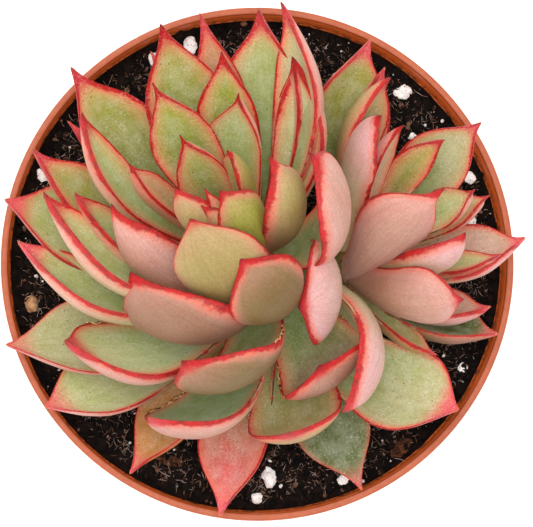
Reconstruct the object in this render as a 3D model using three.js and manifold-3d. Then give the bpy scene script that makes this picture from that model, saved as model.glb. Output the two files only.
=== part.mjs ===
// Potted yeon-deung echeveria: a leaning main rosette and one offset in a plastic nursery pot.
// Units are millimetres, +Z is up, and the origin is the centre of the pot's flat base.

import * as THREE from "three";
import * as BufferGeometryUtils from "three/addons/utils/BufferGeometryUtils.js";
import Module from "manifold-3d";

const wasm = await Module();
wasm.setup();

// Pot
const POT_HEIGHT = 92;
const RIM_RADIUS = 55;
const BASE_RADIUS = 39;
const COLLAR_HEIGHT = 10;
const COLLAR_WALL = 1.5;
const COLLAR_STEP = 2.2;
const BODY_WALL = 1.3;
const FLOOR = 1.6;
const EDGE_BREAK = 0.4;
const POT_SIDES = 48;
const DRAIN_HOLE_RADIUS = 1.9;
const DRAIN_HOLES = 9;
const DRAIN_RING_RADIUS = 26;

// Soil
const SOIL_LEVEL = POT_HEIGHT - 8;
const SOIL_DISH = 0.9;
const GAP = 0.3;
const SOIL_SIDES = 36;
const SOIL_RINGS = [12, 24, 34, 43];

// The two heads: each stem stands upright in the soil and its leafy part leans from foot to crown
const MAIN_HEAD = {
  foot: new THREE.Vector3(4, -8, 88.5),
  crown: new THREE.Vector3(-7, 8, 110),
  stemRadius: 4.6,
};
const OFFSET_HEAD = {
  foot: new THREE.Vector3(15.5, -3, 88),
  crown: new THREE.Vector3(27, 6, 99.5),
  stemRadius: 3.2,
};
const STEM_DEPTH = 11;
const LEAF_INSET = 2;
const LEAF_THICKNESS = 4.6;
const LEAF_CUP = 0.3;
const FLAT_CUP = 0.14;
const CURL_POWER = 1.8;
const HEADS_APART = 0.35;

// Share of a leaf's full width along it, for a long-pointed and for a broad-ended leaf
const POINTED_OUTLINE = [
  [0, 0.42], [0.12, 0.46], [0.28, 0.62], [0.45, 0.86], [0.56, 0.97], [0.63, 1], [0.7, 0.95],
  [0.76, 0.83], [0.81, 0.66], [0.855, 0.46], [0.9, 0.27], [0.94, 0.14], [0.97, 0.07], [1, 0.02],
];
const BROAD_OUTLINE = [
  [0, 0.4], [0.2, 0.52], [0.4, 0.72], [0.6, 0.93], [0.7, 1], [0.78, 0.97],
  [0.85, 0.8], [0.91, 0.5], [0.955, 0.22], [0.98, 0.09], [1, 0.02],
];
const THICKNESS_OUTLINE = [
  [0, 0.75], [0.25, 0.9], [0.5, 1], [0.7, 0.92], [0.85, 0.6], [0.94, 0.3], [1, 0.08],
];
const LEAF_STATIONS = [0, 0.25, 0.48, 0.66, 0.79, 0.89, 0.96];
const LEAF_SECTION = [-1, -0.55, 0, 0.55, 1];
const SMALLEST_HALF_WIDTH = 0.5;
const SMALLEST_THICKNESS = 0.7;

// One row a leaf: tip x, y, z; bearing of growth in degrees; place along the stem, 0 at the foot
// and 1 at the crown; width; curl and roll in degrees; sideways sway; broadness of the end, 0 to 1;
// then, where they differ from the usual, thickness and cup
const MAIN_LEAVES = [
  // Lowest ring, over the rim
  [-8.6, -53.9, 96, -106, 0.02, 17, 14, 0, 1, 0],
  [-27.6, -44.9, 93.6, -121, 0.02, 16, 14, 0, 2.5, 0],
  [21.8, -48.5, 94.5, -65, 0.05, 16.5, 20, 0, 0, 0],
  [-53.6, -17.5, 100, 192, 0.12, 22, 30, 0, -1.5, 0.2],
  [-45.4, -30.4, 102, 212, 0.15, 19.5, 40, 0, 0, 0.9],
  [41.3, -31.2, 104, -40, 0.08, 20, 40, 0, 3, 1],
  [-53.7, 12.5, 106, 178, 0.3, 23, 35, -8, 1, 0.2],
  [-51, 4, 106, 216, 0.3, 17, 25, 0, -12, 0.8],
  [-47.8, 22.7, 110, 163, 0.38, 14.5, 38, 0, -1.5, 0],
  [-40.8, 29, 105, 143, 0.28, 9, 30, 0, 0, 0],
  [-40, 39.4, 112, 130, 0.4, 17.5, 35, 0, -2, 0],
  [-23.5, 43.8, 104, 113, 0.28, 12, 30, 0, 0, 0],
  [-21.7, 47.9, 116, 112, 0.44, 17.5, 35, 0, -1.5, 0],
  [-13.4, 51.5, 108, 103, 0.3, 11, 25, 0, 0, 0],
  [-1.4, 51.7, 112, 88, 0.44, 19, 35, 0, 0, 0],
  [3.1, 53.2, 113, 72, 0.42, 15, 20, -20, 7, 0],
  // Lowest leaves, hidden from above
  [-30, 26, 98, 140, 0.12, 14, 25, 0, 0, 0],
  [-39.1, 13.6, 112, 200, 0.34, 13, 30, 0, -6, 0.8],
  [-12, 33, 98, 108, 0.12, 14, 25, 0, 0, 0],
  [5, 33, 98, 82, 0.14, 13, 25, 0, 0, 0],
  // Second ring
  [5, 40.3, 118, 52, 0.5, 9, 45, -10, -3, 0],
  [5.2, 41.4, 116, 55, 0.5, 14, 35, 0, 4, 0],
  [-37.5, 29.2, 120, 172, 0.52, 10.5, 42, 0, -4, 0.5],
  [-45.4, 13.5, 115, 225, 0.38, 18, 36, -12, -11.5, 0.6],
  [-31.6, 10.7, 121, 242, 0.46, 12.5, 85, 38, 1, 0.1],
  [-9.3, 42, 118, 98, 0.52, 13.5, 30, 0, -1.5, 0],
  [-23.4, 35.1, 122, 113, 0.6, 13.5, 30, 0, -1, -0.4],
  [-6.1, 32.8, 124, 84, 0.64, 12.5, 30, 0, -2.8, -0.4],
  // Incurved leaves on the near side
  [-41.1, -16.7, 112, 222, 0.3, 23, 60, 6, -4.2, 1, 6, FLAT_CUP],
  [-23.9, -32.3, 110, 244, 0.24, 26, 112, 22, 0, 1, LEAF_THICKNESS, FLAT_CUP],
  [4.8, -35.6, 112, 290, 0.22, 21, 118, 0, 0, 1, LEAF_THICKNESS, FLAT_CUP],
  [-17.5, -20.9, 123, 260, 0.48, 25, 124, 30, -2, 1, LEAF_THICKNESS, FLAT_CUP],
  [10.6, -21.9, 117, 306, 0.34, 22, 138, 8, 0, 1, LEAF_THICKNESS, FLAT_CUP],
  [15.7, -31.5, 112, 345, 0.3, 18, 122, 100, -3, 1, LEAF_THICKNESS, FLAT_CUP],
  [-27.7, -3, 122, 238, 0.42, 27.5, 125, 29, -4, 0.4, LEAF_THICKNESS, FLAT_CUP],
  [-16, 7.2, 130, 268, 0.6, 19, 140, 24, -2, 0.9, LEAF_THICKNESS, FLAT_CUP],
  [-6.4, -0.8, 133, 309, 0.58, 17.5, 127, 3, 1, 1, LEAF_THICKNESS, FLAT_CUP],
  [5.9, -10.2, 122, 15, 0.44, 22.5, 120, 0, 0, 1, LEAF_THICKNESS, FLAT_CUP],
  [7.6, 20.2, 131, 352, 0.54, 21, 98, 0, 5, 0.9, LEAF_THICKNESS, FLAT_CUP],
  // Heart
  [-10.3, 12.7, 131, 312, 0.8, 12, 70, 5, 0, 0.3],
  [-0.7, 19.3, 133, 330, 0.72, 14, 78, 0, 1, 0],
  [-18.1, 24.1, 128, 112, 0.62, 10.5, 6, 0, -0.6, -0.4],
  [-28.2, 18.4, 126, 170, 0.64, 6.5, 22, 0, 0.6, 0],
  [-8.8, 20.8, 130, 30, 0.8, 8, 8, 0, 0, 0, 3.6],
  [-19.1, 13.4, 129, 255, 0.84, 8, 70, 30, -1, 0.8, 3.6],
  [-13.3, 13.5, 128, 300, 0.9, 5, 60, 0, 0, 0, 2.5],
  [-13.9, 9.9, 129, 310, 0.9, 7, 60, 0, 0, 0, 3],
];
const OFFSET_LEAVES = [
  // Far side, faces showing
  [22.7, 46.4, 106, 84, 0.25, 18, 34, -18, -2.5, 0],
  [25.4, 40.4, 108, 72, 0.4, 10, 30, 0, 0, 0],
  [45.6, 28.9, 108, 38, 0.4, 14.5, 40, 0, -1.4, 0],
  [37.4, 24.9, 112, 42, 0.6, 7.8, 30, 0, -2.6, 0.2],
  [43.9, 14.7, 110, 20, 0.75, 8.5, 40, 0, -0.7, -0.3],
  [47.5, 13.7, 107, 15, 0.6, 8.7, 40, 0, -1.6, -0.3],
  [55.4, 5.1, 104, -6, 0.35, 15.5, 35, 0, 0, 0],
  [50, 1.5, 107, -10, 0.5, 6.5, 35, 0, 0, 0, 3],
  // Near side and left side, backs showing
  [25.9, 37.4, 114, 110, 0.45, 13, 45, 0, 0, 0],
  [23.2, 29, 120, 148, 0.5, 18, 20, 12, 3.5, 0.3],
  [28.1, 27.2, 118, 120, 0.7, 7, 30, 0, 0, 0, 3],
  [36.1, 14.1, 121, 240, 0.34, 14.8, 40, -6, 2.5, -0.2],
  [40.8, 5.4, 117, 288, 0.68, 13, 45, 0, 0, 0.2],
  [40.8, -8.3, 115, -80, 0.35, 13.5, 55, -62, 0, 1],
  // Lowest, over the soil
  [48.4, -9.4, 102, -25, 0.15, 11, 40, 0, 0, 0],
  [50.5, -15.1, 98, -28, 0.05, 16, 30, 0, -1, 0],
  [36.7, -19.7, 104, -55, 0.15, 6.5, 20, 0, 0, 0, 3],
];

// Loose pieces on the soil: name, x, y, half sizes along its own axes, turn in degrees, seed
const GRAIN_GROWTH = 0.38;
const GRAIN_SINK = 0.35;
const GRAINS = [
  ["perlite_1", -14.6, 47.6, 1.5, 2.3, 1.5, 10, 11],
  ["perlite_2", -22.2, 44.8, 1.3, 1.9, 1.2, -20, 12],
  ["perlite_3", 32, 37.8, 2.2, 1.7, 1.6, 20, 13],
  ["perlite_4", -46.6, 19, 1.1, 1.7, 1.1, 20, 14],
  ["perlite_5", 46.8, 19.1, 1.2, 1.8, 1.3, 15, 15],
  ["perlite_6", 46.6, 9.6, 1.2, 1.6, 1.1, 50, 16],
  ["perlite_7", 49.4, 6.4, 1.6, 1, 1, 20, 17],
  ["perlite_8", 2.7, -46.2, 1.7, 2.6, 1.6, 5, 18],
  ["perlite_9", 0, -50.4, 1.3, 1.2, 1, 0, 19],
  ["perlite_10", 19.2, -46.3, 2, 1.3, 1.2, 35, 20],
  ["perlite_11", 44.8, -22.3, 1, 1, 0.9, 0, 21],
  ["perlite_12", 34, 28.4, 1.2, 0.9, 0.9, 10, 22],
  ["pebble", -48.6, -8.7, 1.7, 2.1, 1.5, 10, 23],
  ["bark_chip_1", -18.8, -42.4, 3.4, 1.3, 0.9, -10, 24],
  ["bark_chip_2", 31.5, -39.6, 3, 1.9, 1, 40, 25],
];

const degrees = THREE.MathUtils.degToRad;

// Small repeatable random source
function seeded(seed) {
  let state = seed * 2654435761 % 4294967296;
  return () => {
    state = (state * 1664525 + 1013904223) % 4294967296;
    return state / 4294967296;
  };
}

function readOutline(outline, t) {
  for (let i = 1; i < outline.length; i += 1) {
    if (t <= outline[i][0]) {
      const share = (t - outline[i - 1][0]) / (outline[i][0] - outline[i - 1][0]);
      return THREE.MathUtils.lerp(outline[i - 1][1], outline[i][1], share);
    }
  }
  return outline[outline.length - 1][1];
}

// A closed solid from rings of points, with a flat fan at the first ring and a point at the last
function ringSolid(rings, point) {
  const positions = [];
  const indices = [];
  const count = rings[0].length;
  for (const ring of rings) {
    for (const p of ring) {
      positions.push(p.x, p.y, p.z);
    }
  }
  for (let r = 0; r + 1 < rings.length; r += 1) {
    for (let i = 0; i < count; i += 1) {
      const a = r * count + i;
      const b = r * count + (i + 1) % count;
      indices.push(a, b, b + count, a, b + count, a + count);
    }
  }
  for (let i = 1; i + 1 < count; i += 1) {
    indices.push(0, i + 1, i);
  }
  const last = (rings.length - 1) * count;
  positions.push(point.x, point.y, point.z);
  for (let i = 0; i < count; i += 1) {
    indices.push(last + i, last + (i + 1) % count, rings.length * count);
  }
  const geometry = new THREE.BufferGeometry();
  geometry.setAttribute("position", new THREE.Float32BufferAttribute(positions, 3));
  geometry.setIndex(indices);
  return geometry;
}

function toManifold(geometry) {
  const bare = geometry.clone();
  bare.deleteAttribute("normal");
  bare.deleteAttribute("uv");
  const merged = BufferGeometryUtils.mergeVertices(bare, 1e-4);
  const mesh = new wasm.Mesh({
    numProp: 3,
    vertProperties: new Float32Array(merged.attributes.position.array),
    triVerts: new Uint32Array(merged.index.array),
  });
  const solid = new wasm.Manifold(mesh);
  return solid.volume() < 0 ? turnedInsideOut(merged) : solid;
}

function turnedInsideOut(geometry) {
  const order = Array.from(geometry.index.array);
  for (let i = 0; i < order.length; i += 3) {
    [order[i], order[i + 1]] = [order[i + 1], order[i]];
  }
  return new wasm.Manifold(new wasm.Mesh({
    numProp: 3,
    vertProperties: new Float32Array(geometry.attributes.position.array),
    triVerts: new Uint32Array(order),
  }));
}

function fromManifold(solid) {
  const mesh = solid.getMesh();
  const geometry = new THREE.BufferGeometry();
  geometry.setAttribute("position", new THREE.Float32BufferAttribute(mesh.vertProperties, 3));
  geometry.setIndex(Array.from(mesh.triVerts));
  geometry.computeVertexNormals();
  return geometry;
}

// The midrib of a leaf: a curve that turns more and more towards its tip, from base to tip
function midrib(base, tip, along, upper, curl, t) {
  const steps = 120;
  const points = [new THREE.Vector2(0, 0)];
  const turn = degrees(curl);
  for (let i = 0; i < steps; i += 1) {
    const angle = turn * Math.pow((i + 0.5) / steps, CURL_POWER);
    const last = points[i];
    points.push(last.clone().add(new THREE.Vector2(Math.cos(angle), Math.sin(angle)).divideScalar(steps)));
  }
  const end = points[steps];
  const scale = base.distanceTo(tip) / end.length();
  const tilt = end.angle();
  const whole = Math.min(steps - 1, Math.floor(t * steps));
  const flat = points[whole].clone().lerp(points[whole + 1], t * steps - whole);
  flat.rotateAround(new THREE.Vector2(0, 0), -tilt).multiplyScalar(scale);
  const heading = turn * Math.pow(t, CURL_POWER) - tilt;
  const place = base.clone().addScaledVector(along, flat.x).addScaledVector(upper, flat.y);
  const normal = along.clone().multiplyScalar(-Math.sin(heading))
    .addScaledVector(upper, Math.cos(heading));
  return { place, normal };
}

// One leaf; grow makes it larger all over, for the clearance between the two heads
function leafSolid(head, row, grow) {
  const [x, y, z, bearing, station, width, curl, roll, sway, broad] = row;
  const thickness = row[10] ?? LEAF_THICKNESS;
  const cup = row[11] ?? LEAF_CUP;
  const axis = head.crown.clone().sub(head.foot).normalize();
  const outward = new THREE.Vector3(Math.cos(degrees(bearing)), Math.sin(degrees(bearing)), 0);
  outward.addScaledVector(axis, -outward.dot(axis)).normalize();
  const base = head.foot.clone().lerp(head.crown, station).addScaledVector(outward, LEAF_INSET);
  const tip = new THREE.Vector3(x, y, z);
  const along = tip.clone().sub(base).normalize();
  const plain = along.clone().cross(axis.clone().cross(outward)).normalize();
  const upper = plain.clone().multiplyScalar(Math.cos(degrees(roll)))
    .addScaledVector(along.clone().cross(plain), Math.sin(degrees(roll)));
  const side = along.clone().cross(upper);
  const sectionPoint = (t, u, face) => {
    const { place, normal } = midrib(base, tip, along, upper, curl, t);
    const pointed = readOutline(POINTED_OUTLINE, t);
    const outline = THREE.MathUtils.lerp(pointed, readOutline(BROAD_OUTLINE, t), broad);
    const half = Math.max(width / 2 * outline, SMALLEST_HALF_WIDTH) + grow;
    const solid = Math.max(thickness * readOutline(THICKNESS_OUTLINE, t), SMALLEST_THICKNESS);
    const deep = solid + 2 * grow;
    const bulge = Math.sqrt(Math.max(0, 1 - u * u)) * Math.min(deep, 1.8 * half);
    const lift = cup * half * u * u + (face > 0 ? 0.08 * bulge + grow : -0.92 * bulge);
    return place.addScaledVector(side, half * u + sway * Math.sin(Math.PI * Math.pow(t, 1.3)))
      .addScaledVector(normal, lift);
  };
  const rings = LEAF_STATIONS.map((t) => [
    ...LEAF_SECTION.map((u) => sectionPoint(t, u, 1)),
    ...LEAF_SECTION.slice(1, -1).reverse().map((u) => sectionPoint(t, u, -1)),
  ]);
  const point = tip.clone().addScaledVector(along, grow);
  return toManifold(ringSolid(rings, point));
}

// The stem: an upright foot in the soil and a leaning shoot up to the crown
function stemSolid(head, grow) {
  const { foot, crown } = head;
  const radius = head.stemRadius + grow;
  const bottom = new THREE.Vector3(foot.x, foot.y, SOIL_LEVEL - STEM_DEPTH + GAP);
  const places = [bottom, foot, foot.clone().lerp(crown, 0.5), crown];
  const sizes = [1, 1, 0.85, 0.5];
  const axis = crown.clone().sub(foot).normalize();
  const rings = places.map((place, i) => {
    const normal = i === 0 ? new THREE.Vector3(0, 0, 1) : axis;
    const across = new THREE.Vector3(1, 0, 0).addScaledVector(normal, -normal.x).normalize();
    const other = normal.clone().cross(across);
    return Array.from({ length: 10 }, (_, k) => {
      const turn = 2 * Math.PI * k / 10;
      return place.clone()
        .addScaledVector(across, radius * sizes[i] * Math.cos(turn))
        .addScaledVector(other, radius * sizes[i] * Math.sin(turn));
    });
  });
  return toManifold(ringSolid(rings, crown.clone().addScaledVector(axis, 2)));
}

function headSolid(head, leaves, grow = 0) {
  const parts = [stemSolid(head, grow), ...leaves.map((row) => leafSolid(head, row, grow))];
  return wasm.Manifold.union(parts);
}

// The outer skin of the largest body: pockets closed in among the leaves are filled
function outerBody(solid) {
  const mesh = solid.getMesh();
  const parent = Array.from({ length: mesh.numVert }, (_, i) => i);
  const rootOf = (i) => {
    let root = i;
    while (parent[root] !== root) {
      parent[root] = parent[parent[root]];
      root = parent[root];
    }
    return root;
  };
  const corners = mesh.triVerts;
  for (let i = 0; i < mesh.mergeFromVert.length; i += 1) {
    parent[rootOf(mesh.mergeFromVert[i])] = rootOf(mesh.mergeToVert[i]);
  }
  for (let i = 0; i < corners.length; i += 3) {
    parent[rootOf(corners[i])] = rootOf(corners[i + 1]);
    parent[rootOf(corners[i + 1])] = rootOf(corners[i + 2]);
  }
  const skins = new Map();
  for (let i = 0; i < corners.length; i += 3) {
    const root = rootOf(corners[i]);
    if (!skins.has(root)) {
      skins.set(root, []);
    }
    skins.get(root).push(corners[i], corners[i + 1], corners[i + 2]);
  }
  const bodies = [...skins.values()].map((triVerts) => toManifold(new THREE.BufferGeometry()
    .setAttribute("position", new THREE.Float32BufferAttribute(mesh.vertProperties, 3))
    .setIndex(triVerts)
    .toNonIndexed()));
  return bodies.reduce((best, body) => (body.volume() > best.volume() ? body : best));
}

// Radius of the pot body's outer wall at a height below the collar
function bodyRadius(z) {
  const top = RIM_RADIUS - COLLAR_STEP;
  return THREE.MathUtils.lerp(BASE_RADIUS, top, z / (POT_HEIGHT - COLLAR_HEIGHT));
}

function latheSolid(profile, sides) {
  const points = profile.map(([r, z]) => new THREE.Vector2(r, z));
  const geometry = new THREE.LatheGeometry(points, sides);
  geometry.rotateX(Math.PI / 2);
  return toManifold(geometry);
}

function potSolid() {
  const collarFoot = POT_HEIGHT - COLLAR_HEIGHT;
  const inside = RIM_RADIUS - COLLAR_WALL;
  const shell = latheSolid([
    [0, 0],
    [BASE_RADIUS - EDGE_BREAK, 0],
    [BASE_RADIUS, EDGE_BREAK],
    [bodyRadius(collarFoot), collarFoot],
    [RIM_RADIUS - EDGE_BREAK, collarFoot],
    [RIM_RADIUS, collarFoot + EDGE_BREAK],
    [RIM_RADIUS, POT_HEIGHT - EDGE_BREAK],
    [RIM_RADIUS - EDGE_BREAK, POT_HEIGHT],
    [inside + EDGE_BREAK, POT_HEIGHT],
    [inside, POT_HEIGHT - EDGE_BREAK],
    [inside, collarFoot + COLLAR_WALL],
    [bodyRadius(collarFoot) - BODY_WALL, collarFoot],
    [bodyRadius(FLOOR) - BODY_WALL, FLOOR],
    [0, FLOOR],
  ], POT_SIDES);
  const cutters = Array.from({ length: DRAIN_HOLES }, (_, k) => {
    const turn = 2 * Math.PI * (k + 0.5) / DRAIN_HOLES;
    const hole = new THREE.CylinderGeometry(DRAIN_HOLE_RADIUS, DRAIN_HOLE_RADIUS, 4 * FLOOR, 8);
    hole.rotateX(Math.PI / 2);
    hole.translate(DRAIN_RING_RADIUS * Math.cos(turn), DRAIN_RING_RADIUS * Math.sin(turn), FLOOR);
    return toManifold(hole);
  });
  return shell.subtract(wasm.Manifold.union(cutters));
}

// Height of the loose soil, a shallow dish with small lumps
function soilHeight(x, y) {
  const dish = SOIL_DISH * (Math.hypot(x, y) / RIM_RADIUS) ** 2 - SOIL_DISH;
  const lumps = 0.28 * Math.sin(0.31 * x + 1.3) * Math.cos(0.27 * y - 0.4)
    + 0.16 * Math.sin(0.83 * x - 0.61 * y);
  return SOIL_LEVEL + dish + lumps;
}

function soilBlank() {
  const collarFoot = POT_HEIGHT - COLLAR_HEIGHT;
  const edge = RIM_RADIUS - COLLAR_WALL - GAP;
  const ring = (radius, height) => Array.from({ length: SOIL_SIDES }, (_, k) => {
    const turn = 2 * Math.PI * k / SOIL_SIDES;
    const x = radius * Math.cos(turn);
    const y = radius * Math.sin(turn);
    return new THREE.Vector3(x, y, height ?? soilHeight(x, y));
  });
  const foot = FLOOR + GAP;
  const rings = [
    ring(bodyRadius(foot) - BODY_WALL - GAP, foot),
    ring(bodyRadius(collarFoot) - BODY_WALL - 2 * GAP, collarFoot),
    ring(edge, collarFoot + COLLAR_WALL + GAP),
    ring(edge),
    ...[...SOIL_RINGS].reverse().map((radius) => ring(radius)),
  ];
  return toManifold(ringSolid(rings, new THREE.Vector3(0, 0, soilHeight(0, 0))));
}

function stemHole(head) {
  const radius = head.stemRadius + GAP;
  const hole = new THREE.CylinderGeometry(radius, radius, 2 * STEM_DEPTH, 20);
  hole.rotateX(Math.PI / 2);
  hole.translate(head.foot.x, head.foot.y, SOIL_LEVEL);
  return toManifold(hole);
}

// A rough grain: a faceted ball with each corner moved in or out
function grainSolid([, x, y, halfX, halfY, halfZ, turn, seed], grow) {
  const random = seeded(seed);
  const ball = BufferGeometryUtils.mergeVertices(
    new THREE.IcosahedronGeometry(1, 1).deleteAttribute("normal").deleteAttribute("uv"), 1e-4);
  const position = ball.attributes.position;
  for (let i = 0; i < position.count; i += 1) {
    const rough = 0.82 + 0.3 * random();
    position.setXYZ(i,
      position.getX(i) * (halfX * rough + grow),
      position.getY(i) * (halfY * rough + grow),
      position.getZ(i) * (halfZ * rough + grow));
  }
  ball.rotateZ(degrees(turn));
  ball.translate(x, y, soilHeight(x, y) + GRAIN_SINK * halfZ);
  return toManifold(ball);
}

function material(color, roughness) {
  return new THREE.MeshStandardMaterial({ color, roughness, metalness: 0 });
}

function named(name, solid, look) {
  const mesh = new THREE.Mesh(fromManifold(solid), look);
  mesh.name = name;
  return mesh;
}

const mainSolid = outerBody(headSolid(MAIN_HEAD, MAIN_LEAVES));
const mainClearance = headSolid(MAIN_HEAD, MAIN_LEAVES, HEADS_APART);
const offsetSolid = outerBody(headSolid(OFFSET_HEAD, OFFSET_LEAVES).subtract(mainClearance));

const dimples = GRAINS.map((grain) => grainSolid(grain, GRAIN_GROWTH));
const soilSolid = soilBlank().subtract(wasm.Manifold.union([
  stemHole(MAIN_HEAD),
  stemHole(OFFSET_HEAD),
  ...dimples,
]));

const terracotta = material(0xc9674a, 0.55);
const darkSoil = material(0x17110d, 0.95);
const leafGreen = material(0xb4a98a, 0.6);
const perliteWhite = material(0xe9e6df, 0.9);
const tanStone = material(0xc49a6c, 0.8);
const brownBark = material(0x6b4128, 0.9);

const part = new THREE.Group();
part.add(named("pot", potSolid(), terracotta));
part.add(named("soil", soilSolid, darkSoil));
part.add(named("rosette_main", mainSolid, leafGreen));
part.add(named("rosette_offset", offsetSolid, leafGreen));
for (const grain of GRAINS) {
  const name = grain[0];
  const look = name.startsWith("perlite") ? perliteWhite : name === "pebble" ? tanStone : brownBark;
  part.add(named(name, grainSolid(grain, 0), look));
}

export default part;
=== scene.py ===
"""Looks of a potted yeon-deung echeveria: fleshy red-edged leaves, loose peat soil, a nursery pot."""

import math
import random
from collections import namedtuple

import bpy
import numpy as np
from mathutils import Matrix, Vector, noise


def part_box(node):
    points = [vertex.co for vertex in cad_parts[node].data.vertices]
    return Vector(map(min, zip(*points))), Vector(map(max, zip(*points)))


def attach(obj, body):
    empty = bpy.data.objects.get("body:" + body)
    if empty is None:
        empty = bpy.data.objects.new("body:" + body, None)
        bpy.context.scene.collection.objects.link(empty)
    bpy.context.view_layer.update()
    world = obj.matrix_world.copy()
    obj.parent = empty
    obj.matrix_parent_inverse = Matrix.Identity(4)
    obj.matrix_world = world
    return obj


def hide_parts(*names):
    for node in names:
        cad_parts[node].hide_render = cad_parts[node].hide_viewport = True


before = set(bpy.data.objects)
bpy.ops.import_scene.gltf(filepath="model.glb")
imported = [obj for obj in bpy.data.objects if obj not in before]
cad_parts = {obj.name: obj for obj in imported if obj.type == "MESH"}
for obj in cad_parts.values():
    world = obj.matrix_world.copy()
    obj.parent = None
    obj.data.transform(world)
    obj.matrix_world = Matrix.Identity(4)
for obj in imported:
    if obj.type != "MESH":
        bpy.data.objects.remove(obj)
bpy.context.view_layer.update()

bl_info = {
    "name": "Potted Echeveria",
    "version": (1, 0, 0),
    "blender": (4, 5, 0),
    "location": "View3D > Sidebar > Echeveria",
    "description": "Builds the leaves, soil and pot of a potted echeveria round its packed frame",
    "category": "Add Mesh",
}

MM = 0.001
BODY = "root"

# Pot, in millimetres where the frame doesn't give it
_, POT_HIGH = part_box("pot")
RIM_RADIUS = POT_HIGH.x
POT_HEIGHT = POT_HIGH.z
BASE_RADIUS = 39 * MM
COLLAR_HEIGHT = 10 * MM
COLLAR_WALL = 1.5 * MM
COLLAR_STEP = 2.2 * MM
BODY_WALL = 1.3 * MM
FLOOR_WALL = 1.6 * MM
DRAIN_HOLE_RADIUS = 1.9 * MM
DRAIN_RING_RADIUS = 26 * MM
DRAIN_HOLES = 9
EDGE_ROUND = 0.42 * MM
FOOT_RING = 4.5 * MM
FOOT_SLOPE = 0.4 * MM
FOOT_HOLLOW = 0.5 * MM
POT_STEPS = 144

# Soil
SOIL_LEVEL = POT_HEIGHT - 8 * MM
SOIL_DISH = 0.9 * MM
SOIL_EDGE = RIM_RADIUS - COLLAR_WALL - 0.3 * MM
SOIL_CELLS = 190
# In millimetres: where the litter ends, and the circle that the leaves mostly hide
LITTER_EDGE = 52.6
FIBRE_EDGE = 51
HIDDEN_CIRCLE = 30

# Leaf meshes: cells round a leaf and along it
LEAF_COLUMNS = 36
LEAF_ROWS = 44
RIB_STEPS = 240
CURL_POWER = 1.8
LEAF_INSET = 2
LEAF_THICKNESS = 4.6
LEAF_CUP = 0.30
FLAT_CUP = 0.14
FACE_BULGE = 0.08
BACK_BULGE = 0.92
# Tips lower than this gather dust, wholly so when they are that much lower, in millimetres
DUST_TOP = 118
DUST_DROP = 18

# Share of a leaf's full width along it, for a long-pointed and for a broad-ended leaf
POINTED_OUTLINE = [
    (0, 0.42), (0.12, 0.46), (0.28, 0.62), (0.45, 0.86), (0.56, 0.97), (0.63, 1), (0.7, 0.95),
    (0.76, 0.83), (0.81, 0.66), (0.855, 0.46), (0.9, 0.27), (0.94, 0.14), (0.97, 0.07), (1, 0.02),
]
BROAD_OUTLINE = [
    (0, 0.4), (0.2, 0.52), (0.4, 0.72), (0.6, 0.93), (0.7, 1), (0.78, 0.97),
    (0.85, 0.8), (0.91, 0.5), (0.955, 0.22), (0.98, 0.09), (1, 0.02),
]
THICKNESS_OUTLINE = [
    (0, 0.75), (0.25, 0.9), (0.5, 1), (0.7, 0.92), (0.85, 0.6), (0.94, 0.3), (1, 0.08),
]

# Each head leans from its foot to its crown, in millimetres
MAIN_HEAD = {"foot": (4, -8, 88.5), "crown": (-7, 8, 110), "stem": 4.6}
OFFSET_HEAD = {"foot": (15.5, -3, 88), "crown": (27, 6, 99.5), "stem": 3.2}

Leaf = namedtuple(
    "Leaf", "complexion redness x y z bearing place width curl roll sway broad thickness cup",
    defaults=(LEAF_THICKNESS, LEAF_CUP))

# One row a leaf: complexion and redness; tip x, y, z in millimetres; bearing of growth in degrees;
# place along the stem; width; curl and roll in degrees; sideways sway; broadness of the end;
# then, where they differ from the usual, thickness and cup
LOWER_LEAVES = [
    ("coral", 1.1, -8.6, -53.9, 96, -106, 0.02, 17, 14, 0, 1, 0),
    ("orange", 0.6, -27.6, -44.9, 93.6, -121, 0.02, 16, 14, 0, 2.5, 0),
    ("moss", 0.4, 21.8, -48.5, 94.5, -65, 0.05, 16.5, 20, 0, 0, 0),
    ("fawn", 0.5, -53.6, -17.5, 100, 192, 0.12, 22, 30, 0, -1.5, 0.2),
    ("frost", 0.7, -45.4, -30.4, 102, 212, 0.15, 19.5, 40, 0, 0, 0.9),
    ("fawn", 1.1, 41.3, -31.2, 104, -40, 0.08, 20, 40, 0, 3, 1),
    ("sage", 1.2, -53.7, 12.5, 106, 178, 0.3, 23, 35, -8, 1, 0.2),
    ("sage", 1.2, -51, 4, 106, 216, 0.3, 17, 25, 0, -12, 0.8),
    ("olive", 1.4, -47.8, 22.7, 110, 163, 0.38, 14.5, 38, 0, -1.5, 0),
    ("olive", 1.1, -40.8, 29, 105, 143, 0.28, 9, 30, 0, 0, 0),
    ("olive", 2.0, -40, 39.4, 112, 130, 0.4, 17.5, 35, 0, -2, 0),
    ("rose", 1.2, -23.5, 43.8, 104, 113, 0.28, 12, 30, 0, 0, 0),
    ("olive", 1.8, -21.7, 47.9, 116, 112, 0.44, 17.5, 35, 0, -1.5, 0),
    ("flushed", 1.2, -13.4, 51.5, 108, 103, 0.3, 11, 25, 0, 0, 0),
    ("sage", 2.0, -1.4, 51.7, 112, 88, 0.44, 19, 35, 0, 0, 0),
    ("fawn", 1.1, 3.1, 53.2, 113, 72, 0.42, 15, 20, -20, 7, 0),
    ("olive", 0.7, -30, 26, 98, 140, 0.12, 14, 25, 0, 0, 0),
    ("sage", 1.0, -39.1, 13.6, 112, 200, 0.34, 13, 30, 0, -6, 0.8),
    ("olive", 0.7, -12, 33, 98, 108, 0.12, 14, 25, 0, 0, 0),
    ("olive", 0.7, 5, 33, 98, 82, 0.14, 13, 25, 0, 0, 0),
]
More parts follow.
